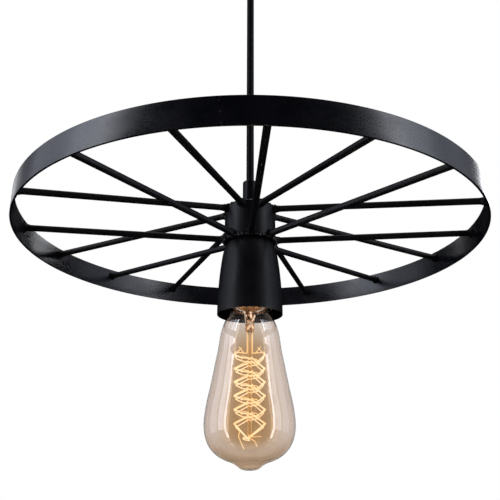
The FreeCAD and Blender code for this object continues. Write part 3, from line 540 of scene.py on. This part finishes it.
# %% [markdown]
# A finished piece takes the place of the measured solid it is laid over, which is hidden, rides on
# the same body and gets its finish. One function does all of that, so no piece can be left loose.
# Where a solid stands, and how far it reaches, is measured on the model and not written down again.


def finish_piece(name, mesh, finish, body, nodes, angle=35.0):
    """Settles the mesh, links it as an object, paints it, hides what it replaces and sets the body it rides
    on.
    """
    settle(mesh, angle)
    mesh.name = name
    mesh.materials.clear()
    mesh.materials.append(finishes[finish])
    piece = bpy.data.objects.new(name, mesh)
    bpy.context.scene.collection.objects.link(piece)
    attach(piece, body)
    if nodes:
        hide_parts(*nodes)
    return piece


def axis_levels(node):
    """Lowest and highest z of a node, and its reach from the axis, in millimetres."""
    low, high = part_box(node)
    return low.z / MM, high.z / MM, max(high.x, -low.x) / MM


print("the cord reaches up to", round(axis_levels("cord")[1], 1), "mm")

# %% [markdown]
# ## The rim
# A flat bar is rolled to a hoop, so the rim is a thin rectangle turned round the axis, with edges
# that the paint has softened. Rolling leaves it very slightly wavy, which shows as a slow wander
# in the soft reflections, so a little of that goes into its radius.

# %% Rim
rim_low, rim_high, rim_radius = axis_levels("rim")
RIM_WALL, RIM_EDGE, RIM_STEPS, WAVE = 1.5, 0.35, 480, 0.05
rim_inside = rim_radius - RIM_WALL
edge = eased(band(rim_radius, RIM_WALL, rim_low, rim_high), RIM_EDGE, 5)
lower_edge, upper_edge = np.split(edge, 2)
rows = np.linspace(0, 1, 5)[1:-1, None]
side_levels = rim_low + RIM_EDGE + (rim_high - rim_low - 2 * RIM_EDGE) * rows
outer_side = np.hstack([np.full_like(rows, rim_radius), side_levels])
inner_side = np.hstack([np.full_like(rows, rim_inside), side_levels[::-1]])
rim_profile = np.vstack([lower_edge, outer_side, upper_edge, inner_side])
turn = full_turn(RIM_STEPS)
reach = rim_profile[:, :1] + (-WAVE + WAVE * np.sin(7 * turn + 0.6) * np.sin(3 * turn))
rim_mesh = mesh_from_grid(set_round(reach, rim_profile[:, 1:], turn), close_rows=True)
rim = finish_piece("rim_band", rim_mesh, "black_paint", "lamp", ["rim"])
print("rim", round(rim_radius, 1), round(rim_low, 1), round(rim_high, 1))

# %% [markdown]
# ## The spokes
# Sixteen rods run from the hub to the rim, in turn from its top edge and its bottom edge. They
# were set by hand, so their outer ends are a degree or two off an even spacing. Each rod swells
# into a small weld bead where it meets the steel. The bead is lumpy, so a few waves round and
# along the rod are added to its radius there, and each rod has its own waves.

# %% Spokes with their weld beads
SPOKE_LEAN = (0.5, 1.5, 1.5, 1.5, -1.0, -3.5, -1.5, 1.0, 0.0, 0.5, 0.0, 0.0, -2.0, -2.0, 1.0, 2.5)
FIRST_SPOKE, SPACING = 3.0 - 90.0, 360.0 / len(SPOKE_LEAN)
ROD, IN_STEEL, ABOVE_MIDDLE, BEAD_RUN, ROD_SIDES = 2.4, 0.6, 3.3, 6.0, 24
HUB_BEAD, HUB_BEAD_WIDTH, RIM_BEAD, RIM_BEAD_WIDTH = 1.2, 3.2, 1.3, 3.4
hub_low, hub_high, hub_radius = axis_levels("hub_tube")
UPPER_HEIGHT, LOWER_HEIGHT = hub_high - ROD, hub_low + ROD
RIM_END = (rim_low + rim_high) / 2 + ABOVE_MIDDLE


def spoke(index):
    """Radius at s along the rod: r + bead * exp(-(s / width)^2) from each end, times lumps round it."""
    upper = index % 2 == 1
    even = math.radians(FIRST_SPOKE + index * SPACING)
    outer = even + math.radians(SPOKE_LEAN[index])
    start = set_round(hub_radius - IN_STEEL, UPPER_HEIGHT if upper else LOWER_HEIGHT, even)
    stop = set_round(rim_inside + IN_STEEL, RIM_END, outer)
    length = np.linalg.norm(stop - start)
    away = np.concatenate([np.linspace(0, BEAD_RUN, 19), np.linspace(BEAD_RUN, length - BEAD_RUN, 12)[1:-1],
                           np.linspace(length - BEAD_RUN, length, 19)])
    turn = full_turn(ROD_SIDES)
    bead = (HUB_BEAD * np.exp(-(away / HUB_BEAD_WIDTH)**2)
            + RIM_BEAD * np.exp(-((length - away) / RIM_BEAD_WIDTH)**2))
    lumps = (0.8 + 0.4 * np.sin(3 * turn + index) * np.sin(1.7 * away[:, None] + 2 * index)
             + 0.25 * np.sin(5 * turn - 2.3 * index))
    radius = ROD + bead[:, None] * lumps
    along = (stop - start) / length
    side = np.cross(along, (0, 0, 1))
    side /= np.linalg.norm(side)
    over = np.cross(side, along)
    ring = (side * np.cos(turn)[:, None] + over * np.sin(turn)[:, None])[None]
    centre = (start + along * away[:, None])[:, None]
    ends = np.repeat(centre[[0, -1]], ROD_SIDES, axis=1)
    grid = np.vstack([ends[:1], centre + radius[..., None] * ring, ends[1:]])
    node = f"spoke_{index + 1:02d}_" + ("upper" if upper else "lower")
    return finish_piece(node + "_rod", mesh_from_grid(grid), "matt_black", "lamp", [node])


spokes = [spoke(index) for index in range(len(SPOKE_LEAN))]
print(len(spokes), "spokes")

# %% [markdown]
# ## Hub and welds
# The hub is a short piece of tube, sawn off square. It is turned from a band's section like the
# rim, so its edges get the same soft corners from the paint.

# %% Hub tube
HUB_WALL, HUB_EASE = 2.0, 0.5
hub_profile = eased(band(hub_radius, HUB_WALL, hub_low, hub_high), HUB_EASE)
finish_piece("hub_sleeve", turned(hub_profile, 192), "matt_black", "lamp", ["hub_tube"])
print("hub", round(hub_radius * 2, 1), "mm across")

# %% [markdown]
# Painted weld seams run round the hub's two edges, and one more closes the rim where its ends
# meet. Sculpting would give lumps that can't be changed later, so a seam is a thin ring or tube
# that swells and shrinks by a few waves whose lengths don't fit together, and no two beads of it
# are alike.

# %% Weld seams
SEAM_STEPS, SEAM_INSET = 720, 0.3


def weld_seam(level, depth):
    """A ring on the hub's edge whose section swells and shrinks with the sum of four waves round it."""
    around, section = full_turn(SEAM_STEPS)[:, None], full_turn(12)
    waves = (0.62 + 0.22 * np.sin(37 * around + 1.0) + 0.20 * np.sin(53 * around + 2.0 * np.sin(5 * around))
             + 0.14 * np.sin(91 * around) + 0.20 * np.sin(16 * around + 1.7))
    swell = depth * waves
    reach = hub_radius - SEAM_INSET + swell * np.cos(section)
    height = level + 0.8 * swell * np.sin(section)
    return mesh_from_grid(set_round(reach, height, around), close_rows=True)


seams = [weld_seam(hub_low + 0.3, 1.9), weld_seam(hub_high - 0.6, 1.1)]
finish_piece("hub_welds", joined_mesh(seams), "painted_weld", "lamp", [], angle=60)

seam_level = np.linspace(rim_low + 1.0, rim_high - 1.0, 40)
seam_turn = math.radians(264.8) + 0.003 * np.sin(1.1 * seam_level)
seam_path = set_round(rim_radius - RIM_WALL / 2, seam_level, seam_turn)
seam_radius = 0.74 + 0.07 * np.sin(1.7 * seam_level) + 0.06 * np.sin(0.9 * seam_level + 1.0)
rim_seam = tube(seam_path, seam_radius, 12, aside=(0.31, 0.17, 0.13))
finish_piece("rim_seam", rim_seam, "painted_weld", "lamp", [], angle=60)
print(len(seams) + 1, "weld seams")

# %% [markdown]
# The cup below the hub is spun from sheet on a lathe, so its wall is thin and its shoulder flows
# into its side. Both are arcs: a tight one over the shoulder, and one of very large radius down to
# the mouth. The inside is the same pair of arcs moved in by the wall.

# %% Socket cup
def arc(start, stop, radius, steps=16):
    """Points on the arc from start to stop whose centre lies to the right of the way between them."""
    start, stop = np.asarray(start, float), np.asarray(stop, float)
    chord = stop - start
    length = np.linalg.norm(chord)
    inward = np.array([chord[1], -chord[0]]) / length
    centre = (start + stop) / 2 + inward * math.sqrt(radius**2 - length**2 / 4)
    first, last = np.arctan2(*(start - centre)[::-1]), np.arctan2(*(stop - centre)[::-1])
    sweep = (last - first + np.pi) % (2 * np.pi) - np.pi
    angle = first + sweep * np.linspace(0, 1, steps)
    return centre + radius * np.stack([np.cos(angle), np.sin(angle)], axis=-1)


cup_low, cup_high, cup_mouth = axis_levels("socket_cup")
SHEET, GRIP_HOLE, TOP_REACH = 1.0, 5.3, 11.5
SHOULDER_REACH, SHOULDER_DROP, SHOULDER_CURVE, SIDE_CURVE = 21.0, 18.0, 31.0, 300.0


def cup_side(top_reach, top, inward):
    """Two arcs from the flat top over the shoulder to the mouth, each moved in by the same amount."""
    shoulder = (SHOULDER_REACH - inward, cup_high - SHOULDER_DROP)
    over = arc((top_reach, top), shoulder, SHOULDER_CURVE - inward)
    down = arc(shoulder, (cup_mouth - inward, cup_low), SIDE_CURVE - inward)
    return np.vstack([over, down[1:]])


outside = cup_side(TOP_REACH, cup_high, 0.0)
inside = cup_side(TOP_REACH - SHEET / 2, cup_high - SHEET, SHEET)
cup_profile = np.vstack([[(GRIP_HOLE, cup_high)], outside, [(cup_mouth - SHEET / 2, cup_low)], inside[::-1],
                         [(GRIP_HOLE, cup_high - SHEET)]])
finish_piece("spun_cup", turned(cup_profile, 192), "matt_black", "lamp", ["socket_cup"], angle=50)
print("cup", round(cup_low, 1), "to", round(cup_high, 1), "mouth", round(cup_mouth, 1))

# %% [markdown]
# ## The bulb
# The envelope is one closed skin: up the outside, over the edge in the cap and down the inside,
# 0.7 mm in. Its outline gives the radius at some depths below the bulb's contact. The inside curve
# is the outside one moved in square to itself, down to the small nipple at the tip where the glass
# was drawn off.

# %% Bulb glass
CONTACT = axis_levels("cap_button")[1]
GLASS_OUTLINE = ((31.5, 15.8), (38.7, 19.3), (59.5, 23.4), (82.5, 27.8), (100.0, 31.2), (110.0, 32.0),
                 (118.0, 30.9), (125.0, 27.8), (130.0, 23.0), (133.6, 16.6), (135.4, 11.6), (137.2, 8.6),
                 (138.9, 6.4), (139.8, 3.4), (140.0, 0.0))
GLASS_WALL, NECK_RADIUS, IN_CAP, CAP_LENGTH = 0.7, 12.7, 1.6, 27.0
cap_low = CONTACT - CAP_LENGTH
outline = np.array([(NECK_RADIUS, cap_low)] + [(radius, CONTACT - depth) for depth, radius in GLASS_OUTLINE])
outer = smooth_line(outline, 10)
outer[-1, 0] = 0.0
heading = unit(np.gradient(outer, axis=0))
inner = outer + np.stack([heading[:, 1], -heading[:, 0]], axis=-1) * GLASS_WALL
inner[-1] = (0.0, outer[-1, 1] + GLASS_WALL)
inner[0, 1] = cap_low
glass_profile = np.vstack([[(NECK_RADIUS, cap_low + IN_CAP)], outer, inner[::-1],
                           [(NECK_RADIUS - GLASS_WALL, cap_low + IN_CAP)]])
finish_piece("amber_envelope", turned(glass_profile, 160), "amber_glass", "bulb", ["bulb_glass"], angle=60)
print("glass", round(outer[:, 0].max() * 2, 1), "mm across, tip at", round(outer[-1, 1], 1))

# %% [markdown]
# Inside stands the stem: a flared glass tube whose end was pressed flat on the two leads, with a
# thin rod drawn on below it that carries the supports. The pressing makes its section an ellipse,
# so the turned grid is squeezed front to back over that stretch. The rod ends in the V at the
# bottom of the filament, so the filament's heights are set here.

# %% Glass stem
PINCH_DEPTH, COIL_DEPTH, COIL_HEIGHT, V_DROP = 37.0, 61.0, 48.0, 10.0
ROD_RADIUS, STRAND, STEM_STEPS, SQUEEZE = 1.3, 0.5, 64, 0.45
pinch = CONTACT - PINCH_DEPTH
rod_end = CONTACT - COIL_DEPTH - COIL_HEIGHT - V_DROP + 2 * STRAND + ROD_RADIUS
stem_outline = [(0.0, pinch), (2.2, pinch + 2), (3.0, pinch + 8), (11.0, cap_low + 2.0),
                (12.0, cap_low + 2.0), (12.0, cap_low + 1.0), (4.2, pinch + 7), (3.4, pinch),
                (3.4, pinch - 6), (1.9, pinch - 7.4), (ROD_RADIUS, pinch - 9),
                (ROD_RADIUS, rod_end + 2.2), (1.7, rod_end + 1.4), (1.6, rod_end + 0.5), (0.0, rod_end)]
stem_profile = np.vstack([stem_outline[:1], eased(stem_outline, 0.5, 3)[4:-4], stem_outline[-1:]])
stem_level = stem_profile[:, 1:]
pressed = np.exp(-((stem_level - pinch + 2.5) / 4.5)**4)
stem_grid = set_round(stem_profile[:, :1], stem_level, full_turn(STEM_STEPS))
stem_grid[..., 1] *= 1 - SQUEEZE * pressed
finish_piece("pressed_stem", mesh_from_grid(stem_grid), "stem_glass", "bulb", ["glass_stem"], angle=50)
print("stem from", round(cap_low + 1, 1), "to", round(rod_end, 1))

# %% [markdown]
# The filament is wound as two opposite spirals round the rod. Each falls from a side hook to one
# in front, runs nearly level past the rod and falls to the other side, then does the same behind,
# so from the front the runs cross left and right of the rod. Both halves meet in a V at the
# bottom. A second strand hangs a little below the first on the same hooks and a little nearer the
# rod. Each strand is one path, and both are tied off at the bottom in a small knot.

# %% Filament
HALF_TURNS, COIL_RADIUS, COIL_TOP = 5, 10.7, CONTACT - COIL_DEPTH
COIL_STEP = COIL_HEIGHT / HALF_TURNS
SECOND_STRAND, SECOND_RADIUS, SECOND_DROP, KNOT_WIRE = 0.36, 9.8, 2.4, 0.32


def hooks(side, radius=COIL_RADIUS, lower=0.0):
    """Three hooks for each half turn, every second half turn turned right round, and one more at the end."""
    half_turn = np.array([(-1.0, 0.0, 0.0), (-0.55, -0.72, -0.33), (0.2, -0.86, -0.44)])
    number = np.arange(HALF_TURNS)
    flip = side * (-1.0)**number[:, None]
    x, y = flip * half_turn[:, 0], flip * half_turn[:, 1]
    z = half_turn[:, 2] - number[:, None]
    points = np.vstack([np.stack([x, y, z], axis=-1).reshape(-1, 3), [(side, 0.0, -HALF_TURNS)]])
    return points * (radius, radius, COIL_STEP) + (0.0, 0.0, COIL_TOP - lower)


down, up = hooks(1.0), hooks(-1.0)[::-1]
down_second, up_second = hooks(1.0, SECOND_RADIUS, SECOND_DROP), hooks(-1.0, SECOND_RADIUS, SECOND_DROP)[::-1]
bottom = np.array([[-1.2, -1.0, down[-1, 2] - V_DROP]])
tail = np.array([[0.0, 0.0, 1.6]])


def strand(falling, rising):
    """Down one spiral, through the V at the bottom and up the other."""
    return bent(np.vstack([falling[:1] + tail, falling, bottom, rising, rising[-1:] + tail]), 0.7)


strand_path, second_path = strand(down, up), strand(down_second, up_second)
knot_turn = np.linspace(0, 5 * np.pi, 60)[:, None]
knot = bottom + (-1.0, 0.0, -0.2) + np.hstack([2.3 * np.cos(knot_turn), 1.2 * np.sin(knot_turn),
                                               1.1 * np.sin(0.8 * knot_turn + 0.5)])
strands = [tube(strand_path, STRAND, 10), tube(second_path, SECOND_STRAND, 8), tube(knot, KNOT_WIRE, 8)]
finish_piece("glowing_strand", joined_mesh(strands), "tungsten", "bulb", ["filament"])
print("filament", round(float(np.linalg.norm(np.diff(strand_path, axis=0), axis=1).sum())), "mm of strand")

# %% [markdown]
# Two leads carry the current down from the stem. They run straight beside the rod and spread to the
# top hooks, so each is a bent wire through four points.

# %% Leads
LEAD, LEAD_OFFSET = 0.4, 1.9


def lead(side, hook):
    """Straight down beside the rod, out to the top hook and down on to the strand's end."""
    end = hook + tail[0]
    path = bent([(LEAD_OFFSET * side, 0, CONTACT - 5.0), (LEAD_OFFSET * side, 0, COIL_TOP + 1.4),
                 end + (0, 0, 0.8), end], 0.5)
    return tube(path, LEAD, 12)


leads = [lead(-1.0, down[0]), lead(1.0, up[-1])]
finish_piece("lead_pair", joined_mesh(leads), "nickel_wire", "bulb", ["lead_wires"])
print(len(leads), "leads")

# %% [markdown]
# Fine wires hold the other hooks. Each slants down and out from the rod, and ends in a small open
# eye round the strand. Thin links tie the two strands at each hook. A few loose ends of the same
# wire cross at the top and stand out from the V at the bottom. All are tubes joined in one mesh,
# because one measured solid stands for them.

# %% Supports and loose ends
SUPPORT, LINK, LOOSE, EYE = 0.3, 0.24, 0.34, 0.66
TOP_ENDS = (((10.6, -0.6, 0.2), (5.6, -3.0, 5.2)), ((4.2, -0.3, 1.6), (8.0, -2.6, 5.8)))
BOTTOM_ENDS = (((0.0, 0.3, 2.0), (2.6, -0.6, 1.0), (9.4, -1.5, 1.3)),
               ((0.6, 0.2, 1.0), (5.0, -1.0, -2.2), (6.4, -1.4, -5.6)),
               ((-6.0, 0.0, 4.6), (-6.4, -0.8, 1.0), (-2.6, -1.2, -7.4)))


def support(hook):
    """A wire that slants down and out from the rod, whose small eye is round the strand."""
    reach = math.hypot(hook[0], hook[1])
    way, up_way = np.array([hook[0], hook[1], 0.0]) / reach, np.array([0.0, 0.0, 1.0])
    turn = np.linspace(0.5 * np.pi, -1.1 * np.pi, 12)[:, None]
    eye = hook - way * 0.2 + EYE * (way * np.cos(turn) + up_way * np.sin(turn))
    at_side = abs(hook[1]) < 0.1
    start = hook * (0, 0, 1) + way * ROD_RADIUS * 0.8 + up_way * (5.6 if at_side else 1.2)
    path = np.vstack([start, hook - way * 1.4 + up_way * 1.5, eye])
    return tube(path, SUPPORT, 8, aside=np.cross(way, up_way) + way * 0.01, rounded=False)


top_ends = [np.array(run) * (side, 1.0, 1.0) + (0.0, 0.0, COIL_TOP)
            for side in (-1.0, 1.0) for run in TOP_ENDS]
bottom_ends = [bent(bottom + np.array(run), 0.8) for run in BOTTOM_ENDS]
supports = [support(hook) for hook in np.vstack([down[1:], up[:-1]])]
supports += [tube(np.array(pair), LINK, 8)
             for pair in zip(np.vstack([down, up]), np.vstack([down_second, up_second]))]
supports += [tube(path, LOOSE, 8) for path in bottom_ends + top_ends]
finish_piece("support_wires", joined_mesh(supports), "nickel_wire", "bulb", ["filament_supports"])
print(len(supports), "supports, links and loose ends")

# %% [markdown]
# The bulb's cap is thin brass with a rolled thread. Its radius is that of a plain sleeve plus a
# round ridge, and the ridge's height along the axis falls by one pitch for each turn.

# %% Bulb cap
PITCH, THREAD_TURNS, CAP_RADIUS, CAP_WALL, RIDGE = 3.629, 4.2, 12.2, 0.5, 0.95
BUTTON_HEIGHT, INSULATOR_HEIGHT, CAP_STEPS, LIP_HEIGHT = 1.4, 3.1, 120, 3.7
THREAD_START, FLANK, SUNK = 5.55, 0.62, 0.12
cap_top = CONTACT - BUTTON_HEIGHT - INSULATOR_HEIGHT
ridge_start, sleeve_inside = cap_low + THREAD_START, CAP_RADIUS - CAP_WALL
cap_turn = full_turn(CAP_STEPS)
cap_levels = np.linspace(cap_top, cap_low + LIP_HEIGHT, 90)[:, None]
turns_up = (cap_levels - ridge_start) / PITCH - cap_turn / (2 * np.pi)
nearest = np.abs(turns_up - np.round(turns_up)) * PITCH
within = (turns_up > -0.5) & (turns_up < THREAD_TURNS)
round_top = np.sqrt(np.clip(RIDGE**2 - (nearest * FLANK)**2, 0.0, None)) - SUNK
ridge = np.where(within, round_top, 0.0).clip(0.0, None)
lip = np.array([(13.2, cap_low + 2), (13.2, cap_low + 0.2), (13.0, cap_low), (12.8, cap_low),
                (12.7, cap_low + 0.2), (12.7, cap_low + 2), (sleeve_inside, cap_low + LIP_HEIGHT),
                (sleeve_inside, cap_top)])
cap_radius = np.vstack([CAP_RADIUS + ridge, np.repeat(lip[:, :1], CAP_STEPS, axis=1)])
cap_grid = set_round(cap_radius, np.vstack([cap_levels, lip[:, 1:]]), cap_turn)
finish_piece("threaded_cap", mesh_from_grid(cap_grid, close_rows=True), "bulb_brass", "bulb", ["bulb_cap"])
print("cap from", round(cap_low, 1), "to", round(cap_top, 1))

# %% [markdown]
# ## The cord
# A round two-core cord, 6 mm across, hangs the lamp. The lamp's weight pulls it straight, so its
# line needs only a few points, from the ball it bends on under the canopy to the grip on the hub.

# %% Cord
cord_low, cord_high, cord_reach = axis_levels("cord")
line = bpy.data.curves.new("hanging_cord", "CURVE")
line.dimensions = "3D"
line.bevel_depth = cord_reach * MM
line.bevel_resolution = 10
line.use_fill_caps = True
run = line.splines.new("NURBS")
run.points.add(5)
for number, point in enumerate(run.points):
    point.co = (0.0, 0.0, (cord_high + (cord_low - cord_high) * number / 5) * MM, 1.0)
run.order_u = 3
run.use_endpoint_u = True
line.materials.append(finishes["cord_sheath"])
hanging_cord = bpy.data.objects.new("hanging_cord", line)
bpy.context.scene.collection.objects.link(hanging_cord)
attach(hanging_cord, "cord")
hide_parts("cord")

# %% [markdown]
# ## The canopy
# The canopy is a spun cup that hides the bracket. It is the same kind of profile as the lamp's
# cup, a thin wall with one rounded corner, and uses the same arcs. Two domed nuts hold it up.

# %% Canopy and cap nuts
canopy_low, canopy_high, canopy_radius = axis_levels("canopy")
CORNER, NUT_OFFSET = 5.0, 40.0
NUT_RADIUS, NUT_LENGTH, BLIND_HOLE, HOLE_DEPTH = 4.0, 8.0, 2.02, 6.5
canopy_inside, corner_reach = canopy_radius - SHEET, canopy_radius - CORNER
outside = arc((canopy_radius, canopy_low + CORNER), (corner_reach, canopy_low), CORNER, 10)
inside = arc((canopy_inside, canopy_low + CORNER), (corner_reach, canopy_low + SHEET), CORNER - SHEET, 10)
canopy_profile = np.vstack([[(GRIP_HOLE, canopy_low + SHEET)], inside[::-1], [(canopy_inside, canopy_high)],
                            [(canopy_radius, canopy_high)], outside, [(GRIP_HOLE, canopy_low)]])
finish_piece("spun_canopy", turned(canopy_profile, 192), "black_paint", "ceiling", ["canopy"], angle=40)


def cap_nut(x):
    """A quarter circle turned to a dome on a short round side, with a blind hole in its top."""
    dome = np.linspace(0, np.pi / 2, 14)
    height = canopy_low - NUT_LENGTH + NUT_RADIUS - NUT_RADIUS * np.cos(dome)
    profile = np.vstack([np.stack([NUT_RADIUS * np.sin(dome), height], axis=-1),
                         [(NUT_RADIUS, canopy_low - 0.3), (NUT_RADIUS - 0.3, canopy_low),
                          (BLIND_HOLE, canopy_low), (BLIND_HOLE, canopy_low - HOLE_DEPTH),
                          (0.0, canopy_low - HOLE_DEPTH)]])
    return turned(profile, 48, closed=False, centre=(x, 0.0))


cap_nuts = joined_mesh([cap_nut(-NUT_OFFSET), cap_nut(NUT_OFFSET)])
finish_piece("domed_nuts", cap_nuts, "black_nut", "ceiling", ["cap_nuts"])
print("canopy", round(canopy_radius * 2, 1), "mm across")

# %% [markdown]
# ## The small parts
# Nuts, screws, washers, terminals and wires already have their right shape in the measured
# model, but as loose triangles with knife edges. A copy of each is merged and shaded smooth up to
# its sharp edges, and all but the wires and cord pieces get a small bevel that catches the light as a worn
# edge does.

# %% Small parts
SMALL_PARTS = {
    "black_paint": ("hub_plate",),
    "black_grip": ("lower_grip", "upper_grip"),
    "black_nut": ("hub_lock_nut", "cup_lock_nut", "upper_grip_nut", "lower_grip_screw", "upper_grip_screw"),
    "zinc": ("cup_washer", "ceiling_bracket", "canopy_screws", "bracket_nuts"),
    "nylon": ("lower_grip_bush", "upper_grip_bush"),
    "phenolic": ("holder_cap", "holder_skirt"),
    "porcelain": ("holder_insert",),
    "brass": ("holder_screws", "centre_contact", "screw_shell", "block_inserts", "block_screws"),
    "solder": ("cap_button",),
    "black_glass": ("cap_insulator",),
    "cord_sheath": ("cord_bend", "cord_upper_end", "cord_lower_end"),
    "live_core": ("holder_live_wire", "canopy_live_wire"),
    "neutral_core": ("holder_neutral_wire", "canopy_neutral_wire"),
    "block_plastic": ("terminal_block",),
}
SOFT_EDGED = ("live_core", "neutral_core", "cord_sheath")
WORN_EDGE, SHARP_FROM = 0.12, 40.0


def refined(node, finish):
    """A merged, smooth copy of a node's mesh, with a fine bevel on its sharp edges unless its finish is soft.
    """
    source = frame["nodes"][node]
    piece = finish_piece(node + "_made", source.data.copy(), finish, source["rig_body"], [node], angle=32)
    if finish not in SOFT_EDGED:
        bevel = piece.modifiers.new("worn_edge", "BEVEL")
        bevel.width = WORN_EDGE * MM
        bevel.segments = 2
        bevel.limit_method = "ANGLE"
        bevel.angle_limit = math.radians(SHARP_FROM)
        bevel.harden_normals = True
    return piece


small = [refined(node, finish) for finish, nodes in SMALL_PARTS.items() for node in nodes]
print(len(small), "small parts")

# %% [markdown]
# ## The studio
# The lamp hangs in a white studio. Two tall narrow lights stand at its sides and draw the long
# highlights down the bulb, and two pairs of broad ones further round lie softly on the rim. A
# light behind each end of the rim brightens its turn away from the viewer. It has a honeycomb,
# which keeps its beam narrow, and lights the rim alone.

# %% Lights
COOL, COOL_STRIP, COOL_REAR, HONEYCOMB = (0.80, 0.84, 1.0), (0.90, 0.92, 1.0), (0.94, 0.95, 1.0), 16.0


def softbox(name, place, size, radiance, tint=(1.0, 1.0, 1.0), aim=(0.0, 0.0, -0.40), upright=True):
    """A rectangular light turned to the lamp; its power follows from how bright its face is."""
    light = bpy.data.lights.new(name, "AREA")
    light.shape = "RECTANGLE"
    light.size, light.size_y = size
    light.energy = radiance * math.pi * size[0] * size[1]
    light.color = tint
    lamp = bpy.data.objects.new(name, light)
    place = np.array(place, float)
    way = np.array(aim) - place
    yaw = math.atan2(way[1], way[0]) - math.pi / 2
    pitch = 0.0 if upright else math.atan2(way[2], math.hypot(way[0], way[1]))
    lamp.location = place.tolist()
    lamp.rotation_euler = (math.pi / 2 + pitch, 0.0, yaw)
    lamp.visible_camera = False
    bpy.context.scene.collection.objects.link(lamp)
    return lamp


rim_only = bpy.data.collections.new("rim_only")
rim_only.objects.link(rim)
for side, broad, beside, rear in ((-1.0, 3.6, 1.2, 0.018), (1.0, 2.6, 0.78, 0.12)):
    softbox(f"strip_{side:+.0f}", (side * 1.06, -0.56, 0.10), (0.13, 2.6), 8.5, COOL_STRIP)
    softbox(f"broad_{side:+.0f}", (side * 1.32, -0.35, 0.20), (0.45, 1.8), broad, COOL)
    softbox(f"side_{side:+.0f}", (side * 1.35, 0.25, 0.20), (0.6, 1.8), beside, COOL)
    end = softbox(f"rear_{side:+.0f}", (side * 1.06, 1.13, 0.36), (0.7, 0.8), rear, COOL_REAR,
                  aim=(side * 0.16, -0.06, -0.30), upright=False)
    end.data.spread = math.radians(HONEYCOMB)
    end.light_linking.receiver_collection = rim_only
softbox("above", (0.0, 0.3, 1.3), (1.2, 1.2), 1.2, upright=False)

# %% [markdown]
# The world is white to the camera and through glass, and dim in gloss, so black paint stays
# black. Light Path says what kind of ray asks, and each kind gets its own share of the strength.

# %% World
RAY_STRENGTH = {"Is Camera Ray": 1.0, "Is Transmission Ray": 1.0, "Is Glossy Ray": 0.009,
                "Is Diffuse Ray": 0.40}
world = bpy.data.worlds.new("white_studio")
bpy.context.scene.world = world
world.use_nodes = True
sky = Nodes(world.node_tree)
background = sky.tree.nodes["Background"]
background.inputs["Color"].default_value = (1.0, 1.0, 1.0, 1.0)
strength = sum(sky.node("ShaderNodeLightPath", output=ray) * share for ray, share in RAY_STRENGTH.items())
sky.feed(background.inputs["Strength"], strength)
print("world", RAY_STRENGTH)

# %% [markdown]
# The floor is a pale disc more than a metre below the lamp. It looks pale to the camera without
# adding light, and isn't mirrored in the paint.

# %% Floor
FLOOR_LEVEL, FLOOR_RADIUS = -1600.0, 2600.0
floor_finish = Finish("pale_floor", emission_strength=0.38)
floor_shade = floor_finish.mix(floor_finish.spread(floor_finish.noise(60.0), 0.0, 1.0),
                               colour(234, 234, 232), colour(238, 238, 236))
seen = floor_finish.node("ShaderNodeLightPath", output="Is Camera Ray")
floor_finish.set(Base_Color=floor_shade, Emission_Color=floor_finish.mix(seen, DARK, floor_shade),
                 Roughness=0.7)
floor_mesh = turned([(0.0, FLOOR_LEVEL), (FLOOR_RADIUS, FLOOR_LEVEL)], 96, closed=False)
floor_mesh.materials.append(floor_finish.material)
floor = bpy.data.objects.new("floor_disc", floor_mesh)
bpy.context.scene.collection.objects.link(floor)
floor.visible_glossy = False
print("floor at", FLOOR_LEVEL * MM, "m")

# %% [markdown]
# The finished lamp must stay inside the measured one.
